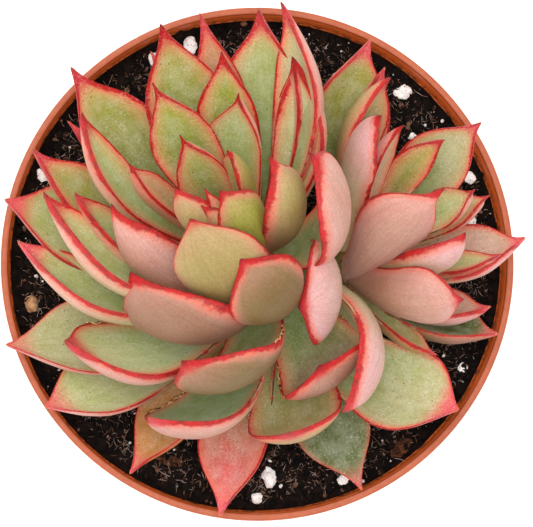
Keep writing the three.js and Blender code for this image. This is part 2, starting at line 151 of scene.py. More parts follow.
UPPER_LEAVES = [
    ("rosy", 1.0, 5, 40.3, 118, 52, 0.5, 9, 45, -10, -3, 0),
    ("frost", 1.6, 5.2, 41.4, 116, 55, 0.5, 14, 35, 0, 4, 0),
    ("sage", 1.0, -37.5, 29.2, 120, 172, 0.52, 10.5, 42, 0, -4, 0.5),
    ("sage", 1.4, -45.4, 13.5, 115, 225, 0.38, 18, 36, -12, -11.5, 0.6),
    ("rose", 1.2, -31.6, 10.7, 121, 242, 0.46, 12.5, 85, 38, 1, 0.1),
    ("lime", 1.8, -9.3, 42, 118, 98, 0.52, 13.5, 30, 0, -1.5, 0),
    ("lime", 1.1, -23.4, 35.1, 122, 113, 0.6, 13.5, 30, 0, -1, -0.4),
    ("sage", 0.8, -6.1, 32.8, 124, 84, 0.64, 12.5, 30, 0, -2.8, -0.4),
]
NEAR_LEAVES = [
    ("frost", 1.3, -41.1, -16.7, 112, 222, 0.3, 23, 60, 6, -4.2, 1, 6, FLAT_CUP),
    ("glaucous", 1.2, -23.9, -32.3, 110, 244, 0.24, 26, 112, 22, 0, 1, LEAF_THICKNESS, FLAT_CUP),
    ("khaki", 1.2, 4.8, -35.6, 112, 290, 0.22, 21, 118, 0, 0, 1, LEAF_THICKNESS, FLAT_CUP),
    ("russet", 1.4, -17.5, -20.9, 123, 260, 0.48, 25, 124, 30, -2, 1, LEAF_THICKNESS, FLAT_CUP),
    ("dusk", 1.1, 10.6, -21.9, 117, 306, 0.34, 22, 138, 8, 0, 1, LEAF_THICKNESS, FLAT_CUP),
    ("petal", 1.3, 15.7, -31.5, 112, 345, 0.3, 18, 122, 100, -3, 1, LEAF_THICKNESS, FLAT_CUP),
    ("dusk", 1.7, -27.7, -3, 122, 238, 0.42, 27.5, 125, 29, -4, 0.4, LEAF_THICKNESS, FLAT_CUP),
    ("khaki", 0.8, -16, 7.2, 130, 268, 0.6, 19, 140, 24, -2, 0.9, LEAF_THICKNESS, FLAT_CUP),
    ("bronze", 1.3, -6.4, -0.8, 133, 309, 0.58, 17.5, 127, 3, 1, 1, LEAF_THICKNESS, FLAT_CUP),
    ("petal", 1.0, 5.9, -10.2, 122, 15, 0.44, 22.5, 120, 0, 0, 1, LEAF_THICKNESS, FLAT_CUP),
    ("rose", 1.5, 7.6, 20.2, 131, 352, 0.54, 21, 98, 0, 5, 0.9, LEAF_THICKNESS, FLAT_CUP),
]
HEART_LEAVES = [
    ("leek", 1.0, -10.3, 12.7, 131, 312, 0.8, 12, 70, 5, 0, 0.3),
    ("khaki", 1.1, -0.7, 19.3, 133, 330, 0.72, 14, 78, 0, 1, 0),
    ("lime", 1.2, -18.1, 24.1, 128, 112, 0.62, 10.5, 6, 0, -0.6, -0.4),
    ("peach", 0.9, -28.2, 18.4, 126, 170, 0.64, 6.5, 22, 0, 0.6, 0),
    ("leek", 0.7, -8.8, 20.8, 130, 30, 0.8, 8, 8, 0, 0, 0, 3.6),
    ("khaki", 0.9, -19.1, 13.4, 129, 255, 0.84, 8, 70, 30, -1, 0.8, 3.6),
    ("lime", 0.9, -13.3, 13.5, 128, 300, 0.9, 5, 60, 0, 0, 0, 2.5),
    ("lime", 0.9, -13.9, 9.9, 129, 310, 0.9, 7, 60, 0, 0, 0, 3),
]
OFFSET_LEAVES = [
    ("olive", 1.7, 22.7, 46.4, 106, 84, 0.25, 18, 34, -18, -2.5, 0),
    ("rose", 1.2, 25.4, 40.4, 108, 72, 0.4, 10, 30, 0, 0, 0),
    ("fawn", 1.2, 45.6, 28.9, 108, 38, 0.4, 14.5, 40, 0, -1.4, 0),
    ("lime", 1.2, 37.4, 24.9, 112, 42, 0.6, 7.8, 30, 0, -2.6, 0.2),
    ("pale", 0.7, 43.9, 14.7, 110, 20, 0.75, 8.5, 40, 0, -0.7, -0.3),
    ("pale", 0.8, 47.5, 13.7, 107, 15, 0.6, 8.7, 40, 0, -1.6, -0.3),
    ("rosy", 1.0, 55.4, 5.1, 104, -6, 0.35, 15.5, 35, 0, 0, 0),
    ("pale", 0.8, 50, 1.5, 107, -10, 0.5, 6.5, 35, 0, 0, 0, 3),
    ("khaki", 0.8, 25.9, 37.4, 114, 110, 0.45, 13, 45, 0, 0, 0),
    ("petal", 0.8, 23.2, 29, 120, 148, 0.5, 18, 20, 12, 3.5, 0.3),
    ("rosy", 0.8, 28.1, 27.2, 118, 120, 0.7, 7, 30, 0, 0, 0, 3),
    ("rose", 1.1, 36.1, 14.1, 121, 240, 0.34, 14.8, 40, -6, 2.5, -0.2),
    ("rosy", 1.2, 40.8, 5.4, 117, 288, 0.68, 13, 45, 0, 0, 0.2),
    ("drab", 0.8, 40.8, -8.3, 115, -80, 0.35, 13.5, 55, -62, 0, 1),
    ("rosy", 0.8, 48.4, -9.4, 102, -25, 0.15, 11, 40, 0, 0, 0),
    ("moss", 0.5, 50.5, -15.1, 98, -28, 0.05, 16, 30, 0, -1, 0),
    ("khaki", 0.7, 36.7, -19.7, 104, -55, 0.15, 6.5, 20, 0, 0, 0, 3),
]
# Margins with dried skin: near leaf, edge, and where along the leaf it starts and ends
DRIED_MARGINS = [
    (0, 1, 0.48, 0.80),
    (1, 1, 0.48, 0.82),
    (2, 1, 0.30, 0.66),
    (3, -1, 0.42, 0.66),
    (4, 1, 0.46, 0.80),
    (4, -1, 0.42, 0.74),
]
HUSK_SEED = 71
OFFSET_SEED = 101
MAIN_GROUPS = [
    ("leaves_lower", LOWER_LEAVES),
    ("leaves_upper", UPPER_LEAVES),
    ("leaves_near", NEAR_LEAVES),
    ("leaves_heart", HEART_LEAVES),
]


def paint(code):
    """A linear colour from six hexadecimal digits of a screen colour."""
    shares = [int(code[i:i + 2], 16) / 255 for i in (0, 2, 4)]
    return tuple(c / 12.92 if c <= 0.04045 else ((c + 0.055) / 1.055) ** 2.4 for c in shares)


def colour(name, description, code):
    """A colour property."""
    return bpy.props.FloatVectorProperty(
        name=name, description=description, subtype="COLOR", size=3, min=0, max=1,
        default=paint(code))


def length(name, description, value, top=1.0):
    """A length property in metres."""
    return bpy.props.FloatProperty(
        name=name, description=description, subtype="DISTANCE", unit="LENGTH",
        min=0, max=top, default=value)


class PotSettings(bpy.types.PropertyGroup):
    """Sizes and colours of the pot."""

    rim_radius: length("Rim radius", "Outside radius of the rim", RIM_RADIUS)
    height: length("Height", "Height of the pot", POT_HEIGHT)
    base_radius: length("Base radius", "Outside radius at the foot", BASE_RADIUS)
    collar_height: length("Collar height", "Height of the wide band below the rim", COLLAR_HEIGHT)
    plastic: colour("Plastic", "Main colour of the pot", "b0552f")
    plastic_deep: colour("Deep plastic", "Colour of its faint clouds", "9c4726")
    plastic_pale: colour("Pale plastic", "Colour of its rubbed edges", "bf6843")
    # The inner wall's brighter orange is painted light, as though lit through the thin plastic
    plastic_painted_glow: colour("Glowing plastic", "Colour of the thin wall inside", "e0682a")
    dirt: colour("Dirt", "Colour of dried soil on the wall", "4a2f20")


class SoilSettings(bpy.types.PropertyGroup):
    """Make-up of the soil."""

    seed: bpy.props.IntProperty(name="Seed", description="Seed of the loose pieces", default=7)
    crumbs: bpy.props.IntProperty(name="Crumbs", description="Crumbs of peat", default=3200)
    fibres: bpy.props.IntProperty(name="Fibres", description="Fine fibres", default=11000)
    specks: bpy.props.IntProperty(name="Specks", description="Small white crumbs", default=260)
    peat: colour("Peat", "Colour of the peat", "060504")
    peat_brown: colour("Brown peat", "Colour of its drier crumbs", "1f1510")
    fibre_brown: colour("Brown fibre", "Colour of the dark fibres", "8f6a52")
    fibre_pale: colour("Pale fibre", "Colour of the pale fibres", "cbbfb4")
    perlite: colour("Perlite", "Colour of the white grains", "fbfaf6")
    pebble: colour("Pebble", "Colour of the tan stone", "d3a878")
    bark: colour("Bark", "Colour of the bark", "6f452c")


class LeafSettings(bpy.types.PropertyGroup):
    """Colours of the leaves and the width of their red margin."""

    margin: bpy.props.FloatProperty(
        name="Margin", description="Width of the red margin in millimetres", default=1.15, min=0)
    red: colour("Red", "Colour of the margin", "ba0a12")
    deep_red: colour("Deep red", "Colour of the line in the margin", "780a0e")
    tip: colour("Tip", "Colour of the hard point", "78100f")
    blush: colour("Blush", "Pink beside the margin", "e06a54")
    halo: colour("Halo", "Warm yellow inside the margin", "dca472")
    sage: colour("Sage", "Usual face colour", "b2ba78")
    olive: colour("Olive", "Deeper face colour", "a4a24c")
    lime: colour("Lime", "Face colour in the heart", "a6aa40")
    glaucous: colour("Glaucous", "Waxy bluish face colour", "a4ba8a")
    pale: colour("Pale", "Pale face colour", "c8cc96")
    fern: colour("Fern", "Green of a shaded leaf", "66782e")
    tan: colour("Tan", "Yellowish back colour", "ae9a62")
    rose: colour("Rose", "Pink back colour", "ce9e94")
    peach: colour("Peach", "Warmer pink of a back", "c88c6c")
    dusk: colour("Dusk", "Brownish back colour", "a67c68")
    umber: colour("Umber", "Olive brown of a back", "846a40")
    coral: colour("Coral", "Colour of an ageing leaf", "e6626a")
    amber: colour("Amber", "Colour of an old leaf", "cc8640")
    celadon: colour("Celadon", "Deeper green towards a leaf's base", "8fa45c")
    fawn: colour("Fawn", "Face colour of the dulled leaves", "bcb688")
    moss: colour("Moss", "Green of the most shaded leaf", "525e1c")
    blanch: colour("Blanch", "Whitish pink of the outer backs", "dcb09c")
    bronze: colour("Bronze", "Deepest back colour", "6c5222")
    husk: colour("Husk", "Dried skin along the old margins", "e0cc9c")
    bark: colour("Bark", "Brown edge of the dried skin", "5c2c1c")
    apricot: colour("Apricot", "Light pink inside a back's margin", "de9e92")
    petal: colour("Petal", "Clear pink of the brightest backs", "dcaeb0")


class StageSettings(bpy.types.PropertyGroup):
    """Floor, light and camera."""

    distance: length("Camera distance", "From the camera to the rim's middle", 0.52)
    tilt: bpy.props.FloatProperty(
        name="Tilt", description="Lean of the camera from straight down", subtype="ANGLE",
        default=math.radians(4.3))
    bearing: bpy.props.FloatProperty(
        name="Bearing", description="Side to which the camera leans", subtype="ANGLE",
        default=math.radians(215))
    floor: colour("Floor", "Colour of the floor", "fbfbfa")


# Colours of a leaf: face at its base and at its end, back at its base and at its end
COMPLEXIONS = {
    "sage": ("celadon", "sage", "pale", "blanch"),
    "olive": ("fern", "olive", "olive", "peach"),
    "lime": ("fern", "lime", "lime", "tan"),
    "leek": ("fern", "lime", "lime", "olive"),
    "glaucous": ("celadon", "glaucous", "tan", "rose"),
    "frost": ("glaucous", "pale", "tan", "rose"),
    "pale": ("celadon", "pale", "pale", "blanch"),
    "fawn": ("celadon", "fawn", "peach", "rose"),
    "rosy": ("rose", "rose", "fawn", "petal"),
    "moss": ("moss", "moss", "fern", "dusk"),
    "rose": ("celadon", "rose", "rose", "rose"),
    "peach": ("celadon", "peach", "tan", "peach"),
    "flushed": ("celadon", "peach", "dusk", "rose"),
    "dusk": ("celadon", "dusk", "dusk", "dusk"),
    "khaki": ("celadon", "tan", "umber", "tan"),
    "bronze": ("celadon", "tan", "bronze", "umber"),
    "russet": ("celadon", "dusk", "bronze", "umber"),
    "drab": ("celadon", "tan", "dusk", "rose"),
    "petal": ("celadon", "rose", "fawn", "petal"),
    "coral": ("tan", "coral", "amber", "coral"),
    "orange": ("amber", "amber", "amber", "amber"),
}


def smooth_read(outline, share):
    """Reads an outline by a smooth curve that doesn't overshoot its points."""
    x, y = np.array(outline, float).T
    rise = np.diff(y) / np.diff(x)
    slope = np.zeros(len(x))
    same = rise[1:] * rise[:-1] > 0
    slope[1:-1][same] = 2 * (rise[1:] * rise[:-1])[same] / (rise[1:] + rise[:-1])[same]
    slope[0], slope[-1] = rise[0], rise[-1]
    share = np.clip(share, 0, 1)
    i = np.clip(np.searchsorted(x, share, side="right") - 1, 0, len(x) - 2)
    step = x[i + 1] - x[i]
    t = (share - x[i]) / step
    return ((1 + 2 * t) * (1 - t) ** 2 * y[i] + t * (1 - t) ** 2 * step * slope[i]
            + t * t * (3 - 2 * t) * y[i + 1] + t * t * (t - 1) * step * slope[i + 1])


def unit(vector):
    """The vector at length one."""
    return vector / np.linalg.norm(vector)


def smooth_step(value, low, high):
    """0 below low, 1 above high, and smooth between."""
    t = np.clip((value - low) / (high - low), 0, 1)
    return t * t * (3 - 2 * t)


NOISE_STEPS = (7.13, 3.71, 1.37)


def rough(places, size, seed):
    """Soft noise from about -1 to 1 at each place, in millimetres."""
    shift = Vector([seed * step for step in NOISE_STEPS])
    return np.array([noise.noise(Vector(p) / size + shift) for p in places])


def mode(kind):
    """Enters the edit or the object mode."""
    bpy.ops.object.mode_set(mode=kind)


def deselected():
    """Leaves edit mode and selects nothing."""
    if bpy.context.object and bpy.context.object.mode != "OBJECT":
        mode("OBJECT")
    bpy.ops.object.select_all(action="DESELECT")


def started(name, add, **sizes):
    """A named primitive, alone selected."""
    deselected()
    add(**sizes)
    piece = bpy.context.active_object
    piece.name = piece.data.name = name
    return piece


def chosen(*pieces):
    """Selects these pieces alone, the first of them active."""
    deselected()
    for piece in pieces:
        piece.select_set(True)
    bpy.context.view_layer.objects.active = pieces[0]


def placed(name, data):
    """A new object in the scene."""
    piece = bpy.data.objects.new(name, data)
    bpy.context.scene.collection.objects.link(piece)
    return piece


def joined(name, pieces):
    """The pieces as one, under this name."""
    chosen(*pieces)
    if len(pieces) > 1:
        bpy.ops.object.join()
    piece = bpy.context.active_object
    piece.name = piece.data.name = name
    return piece


def welded(piece, distance=1e-6):
    """Closes the seams of a piece and turns its faces outwards."""
    chosen(piece)
    mode("EDIT")
    bpy.ops.mesh.select_all(action="SELECT")
    bpy.ops.mesh.remove_doubles(threshold=distance)
    bpy.ops.mesh.normals_make_consistent(inside=False)
    mode("OBJECT")


def read_places(mesh):
    """The vertices of a mesh as an array."""
    flat = np.zeros(len(mesh.vertices) * 3, np.float32)
    mesh.vertices.foreach_get("co", flat)
    return flat.reshape(-1, 3).astype(float)


def write_places(mesh, places):
    """Moves the vertices of a mesh."""
    mesh.vertices.foreach_set("co", np.asarray(places, np.float32).ravel())
    mesh.update()


def write_value(mesh, name, values):
    """Keeps one number a vertex for the materials."""
    made = mesh.attributes.new(name, "FLOAT", "POINT")
    made.data.foreach_set("value", np.asarray(values, np.float32).ravel())


def write_colour(mesh, name, values):
    """Keeps one colour a vertex for the materials."""
    made = mesh.attributes.new(name, "FLOAT_COLOR", "POINT")
    full = np.ones((len(values), 4), np.float32)
    full[:, :3] = values
    made.data.foreach_set("color", full.ravel())


def finished(piece, material, slot, *nodes):
    """Gives a piece its material and ties it to the frame."""
    piece.data.materials.clear()
    piece.data.materials.append(material)
    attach(piece, BODY)
    if nodes:
        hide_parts(*nodes)


def modified(piece, kind, **settings):
    """Adds a modifier and applies it."""
    chosen(piece)
    made = piece.modifiers.new(kind.title(), kind)
    for key, value in settings.items():
        setattr(made, key, value)
    bpy.ops.object.modifier_apply(modifier=made.name)


class Signal:
    """A node's output in sums and products, each of which adds a Math node."""

    def __init__(self, wiring, socket):
        self.wiring = wiring
        self.socket = socket

    def __add__(self, other):
        return self.wiring.math("ADD", self, other)

    def __sub__(self, other):
        return self.wiring.math("SUBTRACT", self, other)

    def __mul__(self, other):
        return self.wiring.math("MULTIPLY", self, other)

    def __truediv__(self, other):
        return self.wiring.math("DIVIDE", self, other)

    def __rtruediv__(self, other):
        return self.wiring.math("DIVIDE", other, self)

    def span(self, low, high, start=0.0, end=1.0, kind="SMOOTHSTEP"):
        """Start at low, end at high, and a passage between."""
        inputs = {"Value": self, "From Min": low, "From Max": high, "To Min": start, "To Max": end}
        return self.wiring.made("ShaderNodeMapRange", "Result", inputs, interpolation_type=kind)


class Wiring:
    """Adds nodes to one tree; an input is joined if it is a signal and set if it is a value."""

    def __init__(self, tree):
        self.tree = tree

    def join(self, socket, value):
        if isinstance(value, Signal):
            self.tree.links.new(value.socket, socket)
        elif socket.type == "RGBA" and len(value) == 3:
            socket.default_value = (*value, 1)
        else:
            socket.default_value = value

    def add(self, kind, inputs=None, **settings):
        node = self.tree.nodes.new(kind)
        for key, value in settings.items():
            setattr(node, key, value)
        for key, value in (inputs or {}).items():
            self.join(node.inputs[key], value)
        return node

    def made(self, kind, output, inputs=None, **settings):
        """One output of a new node."""
        return Signal(self, self.add(kind, inputs, **settings).outputs[output])

    def named(self, sockets):
        """Output sockets as signals, by name."""
        return {socket.name: Signal(self, socket) for socket in sockets}

    def math(self, operation, a, b=0.0, clamp=False):
        return self.made("ShaderNodeMath", 0, {0: a, 1: b}, operation=operation, use_clamp=clamp)

    def mix(self, share, a, b, blend="MIX"):
        return self.made("ShaderNodeMix", 2, {0: share, 6: a, 7: b}, data_type="RGBA", blend_type=blend)

    def tinted(self, share, base, tint):
        """The base multiplied by a tint, as far as the share says."""
        return self.mix(share, base, tint, "MULTIPLY")

    def noise(self, vector, scale, detail=2.0, rough_share=0.5):
        inputs = {"Vector": vector, "Scale": scale, "Detail": detail, "Roughness": rough_share}
        return self.made("ShaderNodeTexNoise", "Fac", inputs)

    def value(self, name):
        return self.made("ShaderNodeAttribute", "Fac", attribute_name=name)

    def colour(self, name):
        return self.made("ShaderNodeAttribute", "Color", attribute_name=name)

    def spot(self, x, y, z):
        """A place from three numbers."""
        return self.made("ShaderNodeCombineXYZ", 0, {"X": x, "Y": y, "Z": z})

    def place(self):
        """Object coordinates in millimetres."""
        spot = self.made("ShaderNodeTexCoord", "Object")
        return self.made("ShaderNodeVectorMath", 0, {0: spot, "Scale": 1000.0}, operation="SCALE")

    def group(self, name, **inputs):
        """The outputs of one of the shared node groups, by name."""
        node = self.add("ShaderNodeGroup", node_tree=effect(name))
        for key, value in inputs.items():
            self.join(node.inputs[key.title()], value)
        return self.named(node.outputs)


def shader_group(name, inputs, outputs):
    """An empty node group with these sockets, its wiring, what it is given and what it puts out."""
    tree = bpy.data.node_groups.new(name, "ShaderNodeTree")
    for in_out, sockets in (("INPUT", inputs), ("OUTPUT", outputs)):
        for label, kind in sockets.items():
            tree.interface.new_socket(label, in_out=in_out, socket_type=kind)
    w = Wiring(tree)
    return tree, w, w.named(w.add("NodeGroupInput").outputs), w.add("NodeGroupOutput").inputs


VECTOR = "NodeSocketVector"
FLOAT = "NodeSocketFloat"
COLOUR = "NodeSocketColor"


def mottle_group():
    """Soft clouds of a second colour."""
    tree, w, given, out = shader_group(
        "Mottle",
        {"Place": VECTOR, "Colour": COLOUR, "Clouds": COLOUR, "Size": FLOAT, "Amount": FLOAT},
        {"Colour": COLOUR})
    cloud = w.noise(given["Place"], 1.0 / given["Size"], 3.0).span(0.36, 0.66)
    share = w.math("MULTIPLY", cloud, given["Amount"], clamp=True)
    w.join(out["Colour"], w.mix(share, given["Colour"], given["Clouds"]))
    return tree


def speck_group():
    """Small round spots in some cells of a scattered pattern."""
    tree, w, given, out = shader_group(
        "Specks",
        {"Place": VECTOR, "Colour": COLOUR, "Spots": COLOUR, "Spacing": FLOAT, "Radius": FLOAT,
         "Share": FLOAT, "Amount": FLOAT},
        {"Colour": COLOUR})
    cells = w.named(w.add("ShaderNodeTexVoronoi", {
        "Vector": given["Place"], "Scale": 1.0 / given["Spacing"]}).outputs)
    reach = given["Radius"] / given["Spacing"]
    spot = cells["Distance"].span(reach, reach * 0.45)
    chance = w.made("ShaderNodeSeparateColor", 0, {0: cells["Color"]})
    picked = w.math("LESS_THAN", chance, given["Share"])
    mask = w.math("MULTIPLY", spot * picked, given["Amount"], clamp=True)
    w.join(out["Colour"], w.mix(mask, given["Colour"], given["Spots"]))
    return tree


def margin_group():
    """Masks of a coloured margin: its core and the fade beside it."""
    tree, w, given, out = shader_group(
        "Margin",
        {"Distance": FLOAT, "Wander": FLOAT, "Width": FLOAT, "Fade": FLOAT},
        {"Core": FLOAT, "Fade": FLOAT})
    width = given["Width"]
    distance = given["Distance"] + (given["Wander"] - 0.5) * (width * 1.4)
    w.join(out["Core"], distance.span(width, width * 0.55))
    w.join(out["Fade"], distance.span(width + given["Fade"], width * 0.6))
    return tree


def grain_group():
    """Height of a fine grain with a coarser one under it."""
    tree, w, given, out = shader_group(
        "Grain", {"Place": VECTOR, "Size": FLOAT, "Coarse": FLOAT}, {"Height": FLOAT})
    fine = w.noise(given["Place"], 1.0 / given["Size"], 3.0, 0.6)
    broad = w.noise(given["Place"], 0.16 / given["Size"], 2.0)
    w.join(out["Height"], fine + broad * given["Coarse"])
    return tree


GROUP_MAKERS = {"Mottle": mottle_group, "Specks": speck_group, "Margin": margin_group, "Grain": grain_group}


def effect(name):
    """One of the shared node groups, made at its first use."""
    return bpy.data.node_groups.get(name) or GROUP_MAKERS[name]()


def new_material(name):
    """A material with its wiring and its Principled shader."""
    material = bpy.data.materials.new(name)
    material.use_nodes = True
    shader = material.node_tree.nodes["Principled BSDF"]
    return material, Wiring(material.node_tree), shader


def preset(shader, values):
    """Sets the shader's own constants."""
    for label, value in values.items():
        shader.inputs[label].default_value = value


def bumped(w, shader, height, strength, distance):
    """Feeds a height into the shader's normal; distance is in metres."""
    inputs = {"Height": height, "Strength": strength, "Distance": distance}
    w.join(shader.inputs["Normal"], w.made("ShaderNodeBump", "Normal", inputs))


# Over the two sides of a leaf: a pattern, how strong it is, and what it multiplies the colour by
FACE_TINTS = [("broad", 0.60, (0.74, 0.86, 0.56)), ("small", 0.40, (0.78, 0.82, 0.66))]
BACK_TINTS = [
    ("middle", 0.45, (0.74, 0.80, 0.62)), ("broad", 0.55, (0.96, 0.78, 0.72)),
    ("small", 0.34, (0.82, 0.76, 0.68)), ("medium", 0.30, (0.90, 0.84, 0.84)),
]
FACE_HAZE = (0.74, 0.76, 0.62)
# Pale patches of waxy bloom that also stand in for soft highlights: partly powder, partly painted highlight
BLOOM_AND_PAINTED_SHEEN = (0.88, 0.86, 0.78)
STREAK_TINT = (0.35, 0.30, 0.14)
GRAIN_TINT = (0.50, 0.46, 0.34)
DARK_SPOTS = (0.10, 0.05, 0.03)
PALE_DUST = (0.84, 0.82, 0.72)
# From wholly back to wholly face
EDGE = (-0.08, 0.08)
# The leaves' Emission Strength is a painted glow of their own colour, standing in for light through and
# between the leaves; it lifts their shade most
LEAF_SHADER = {
    "Emission Strength": 0.09, "Specular IOR Level": 0.30, "Subsurface Weight": 0.10,
    "Subsurface Radius": (1.0, 0.45, 0.25), "Subsurface Scale": 0.0012,
    "Sheen Weight": 0.03, "Sheen Roughness": 0.45,
}


def leaf_material(skin):
    """Fleshy skin: clouded face and back, a ragged red margin with a warm halo, specks, bloom that is partly
    a painted highlight, and a faint painted glow of the skin's own colour that lightens its shade.
    """
    material, w, shader = new_material("leaf_skin")
    place = w.place()
    along, across, side = w.value("rib_share"), w.value("across"), w.value("face_side")
    distance, redness, dust = w.value("rim_mm"), w.value("redness"), w.value("dust")
    flushing = w.math("MINIMUM", redness, 1.0)
    seed = w.value("leaf_seed") * 40.0

    # Long faint streaks that follow the rib, and short ones that run in from the margin
    streaks = w.noise(w.spot(across * 7.0, along * 1.6, seed), 1.6, 4.0, 0.6)
    bleed = w.noise(w.spot(along * 26.0, distance * 0.3, seed), 1.0, 3.0, 0.6)
    drift = w.noise(w.spot(along * 4.0, across, seed), 1.0, 2.0)
    clouds = w.noise(place, 0.16, 3.0)
    quick = w.noise(place, 0.62, 4.0, 0.65)
    fine = w.noise(place, 2.3, 3.0, 0.75)
    wander = quick * 0.6 + bleed * 0.6

    # Face and back before the red
    patterns = {
        "middle": distance.span(3.0, 8.0),
        "broad": w.noise(place, 0.13, 2.0).span(0.25, 0.75),
        "medium": w.noise(place, 0.34, 2.0).span(0.25, 0.75),
        "small": w.noise(place, 1.2, 3.0, 0.6).span(0.25, 0.75),
    }
    face = w.mix(along.span(0.25, 0.85), w.colour("face_base"), w.colour("face_end"))
    back = w.mix(along.span(0.35, 0.85), w.colour("back_base"), w.colour("back_end"))
    for pattern, strength, tint in FACE_TINTS:
        face = w.tinted(patterns[pattern] * strength, face, tint)
    face = w.mix(patterns["medium"] * 0.22, face, FACE_HAZE)
    for pattern, strength, tint in BACK_TINTS:
        back = w.tinted(patterns[pattern] * strength, back, tint)

    # Margin widths change along each leaf and grow towards the tip
    grow = along.span(0.05, 0.75, 0.40, 1.0) * drift.span(0.30, 0.70, 0.40, 1.60, "LINEAR")
    width = grow * skin.margin * redness
    point = along.span(0.86, 1.0) * redness
    face_width = width * 0.50 + point * 0.9
    back_width = width * 1.30 + point * 1.3
    front = w.group("Margin", distance=distance, wander=wander, width=face_width, fade=1.5)
    rear = w.group("Margin", distance=distance, wander=wander, width=back_width, fade=1.8)
    warm = w.group("Margin", distance=distance, wander=quick, width=face_width, fade=4.2)["Fade"]
    warm = w.math("MAXIMUM", warm, along.span(0.76, 0.95, 0.0, 0.55))
    warm = warm * (flushing * dust.span(0.2, 1.0, 1.0, 0.20))
    face = w.mix(warm * 0.74, face, skin.halo)
    back = w.mix(warm * 0.48, back, skin.apricot)
    glow = along.span(0.84, 0.98) * (flushing * 0.80)
    face = w.mix(w.math("MAXIMUM", glow, front["Fade"] * flushing * 0.85), face, skin.blush)
    back = w.mix(rear["Fade"] * bleed.span(0.30, 0.66, 0.35, 0.95) * flushing, back, skin.blush)
    face = w.mix(front["Core"] * 0.96, face, skin.red)
    dense = w.mix(quick.span(0.46, 0.60, 0.0, 0.60), skin.red, skin.deep_red)
    back = w.mix(rear["Core"] * 0.94, back, dense)

    # The whole end reddens, earlier on the face; the outer leaves only turn coral
    ragged_along = along + (quick - 0.5) * 0.07
    end_colour = w.mix(dust, skin.red, skin.coral)
    face = w.mix(ragged_along.span(0.86, 0.96, 0.0, 0.90) * flushing, face, end_colour)
    back = w.mix(ragged_along.span(0.91, 0.98, 0.0, 0.90) * flushing, back, end_colour)

    # Face and back meet at the margin, where the edge itself is darkest
    base = w.mix(side.span(*EDGE), back, face)
    line = distance.span(0.40, 0.10) * quick.span(0.40, 0.62, 0.0, 0.60)
    base = w.mix(line * flushing, base, skin.deep_red)
    base = w.mix(along.span(0.965, 0.995, 0.0, 0.85), base, w.mix(dust, skin.tip, skin.blush))

    # Dried skin along the margins of the lower leaves, near their base
    aged = along.span(0.60, 0.50) * w.noise(place, 0.5, 3.0, 0.6).span(0.40, 0.54) * dust.span(0.1, 0.3)
    base = w.mix(aged * distance.span(0.95, 0.5, 0.0, 0.75), base, skin.husk)
    base = w.mix(aged * distance.span(0.5, 0.25, 0.0, 0.9), base, skin.bark)

    # Streaks, grain, waxy bloom with some painted highlight, dark specks and pale dust lie over all of it
    base = w.tinted(streaks.span(0.35, 0.75, 0.0, 0.16), base, STREAK_TINT)
    base = w.tinted(fine.span(0.58, 0.34, 0.0, 0.34, "LINEAR"), base, GRAIN_TINT)
    # Pale bloom patches, mostly on the face: waxy powder and a painted highlight
    bloom_and_painted_sheen = fine.span(0.50, 0.72) * clouds.span(0.36, 0.62, 0.03, 0.26) * side.span(*EDGE, 0.12, 1.0)
    base = w.mix(bloom_and_painted_sheen, base, BLOOM_AND_PAINTED_SHEEN)
    flocks = w.noise(place, 0.22, 2.0).span(0.46, 0.62)
    base = w.group("Specks", place=place, colour=base, spots=DARK_SPOTS, spacing=0.8, radius=0.21, share=0.36,
                   amount=flocks * side.span(*EDGE, 0.35, 0.78))["Colour"]
    base = w.group("Specks", place=place, colour=base, spots=PALE_DUST, spacing=0.9, radius=0.17, share=0.30,
                   amount=dust * 0.38)["Colour"]
    w.join(shader.inputs["Base Color"], base)
    # The base colour also glows: painted light that brightens the shaded leaves
    w.join(shader.inputs["Emission Color"], base)
    w.join(shader.inputs["Roughness"], clouds.span(0.3, 0.7, 0.42, 0.58, "LINEAR"))
    preset(shader, LEAF_SHADER)
    grain = w.group("Grain", place=place, size=0.35, coarse=1.5)["Height"]
    bumped(w, shader, grain + streaks * 1.6, 0.5, 0.0002)
    return material


def plastic_material(pot):
    """Moulded plastic with faint clouds, rubbed edges, fine grain, a painted glow on the inner wall and dried
    soil near the bed.
    """
    material, w, shader = new_material("pot_plastic")
    place = w.place()
    base = w.group("Mottle", place=place, colour=pot.plastic, clouds=pot.plastic_deep, size=9.0,
                   amount=0.35)["Colour"]
    base = w.group("Mottle", place=place, colour=base, clouds=pot.plastic_pale, size=1.1,
                   amount=0.30)["Colour"]
    x, y, z = w.named(w.add("ShaderNodeSeparateXYZ", {0: place}).outputs).values()
    radius = w.math("SQRT", w.math("POWER", x, 2.0) + w.math("POWER", y, 2.0))
    top, soil = POT_HEIGHT / MM, SOIL_LEVEL / MM
    # Only the wall above the soil: lower down, the outside of the pot is as narrow as that
    inside = w.math("LESS_THAN", radius, (RIM_RADIUS - COLLAR_WALL) / MM + 0.12)
    inside = inside * z.span(soil - 3.0, soil - 2.0)
    # The inner wall above the soil is painted a brighter orange: painted light
    lit = inside * z.span(top - 0.3, top - 1.6)
    stain = inside * z.span(top - 1.5, soil) * w.noise(place, 0.7, 4.0, 0.7).span(0.42, 0.62)
    base = w.mix(lit, base, pot.plastic_painted_glow)
    base = w.mix(stain * 0.85, base, pot.dirt)
    base = w.group("Specks", place=place, colour=base, spots=pot.dirt, spacing=1.7, radius=0.26,
                   share=0.10, amount=0.55)["Colour"]
    w.join(shader.inputs["Base Color"], base)
    # Only that painted band glows: painted light, not a lamp
    w.join(shader.inputs["Emission Color"], w.mix(lit, (0.0, 0.0, 0.0), base))
    w.join(shader.inputs["Roughness"], w.noise(place, 0.8, 3.0).span(0.3, 0.7, 0.42, 0.56, "LINEAR"))
    preset(shader, {"Emission Strength": 0.16, "Specular IOR Level": 0.45})
    bumped(w, shader, w.group("Grain", place=place, size=0.22, coarse=0.8)["Height"], 0.4, 0.00006)
    return material
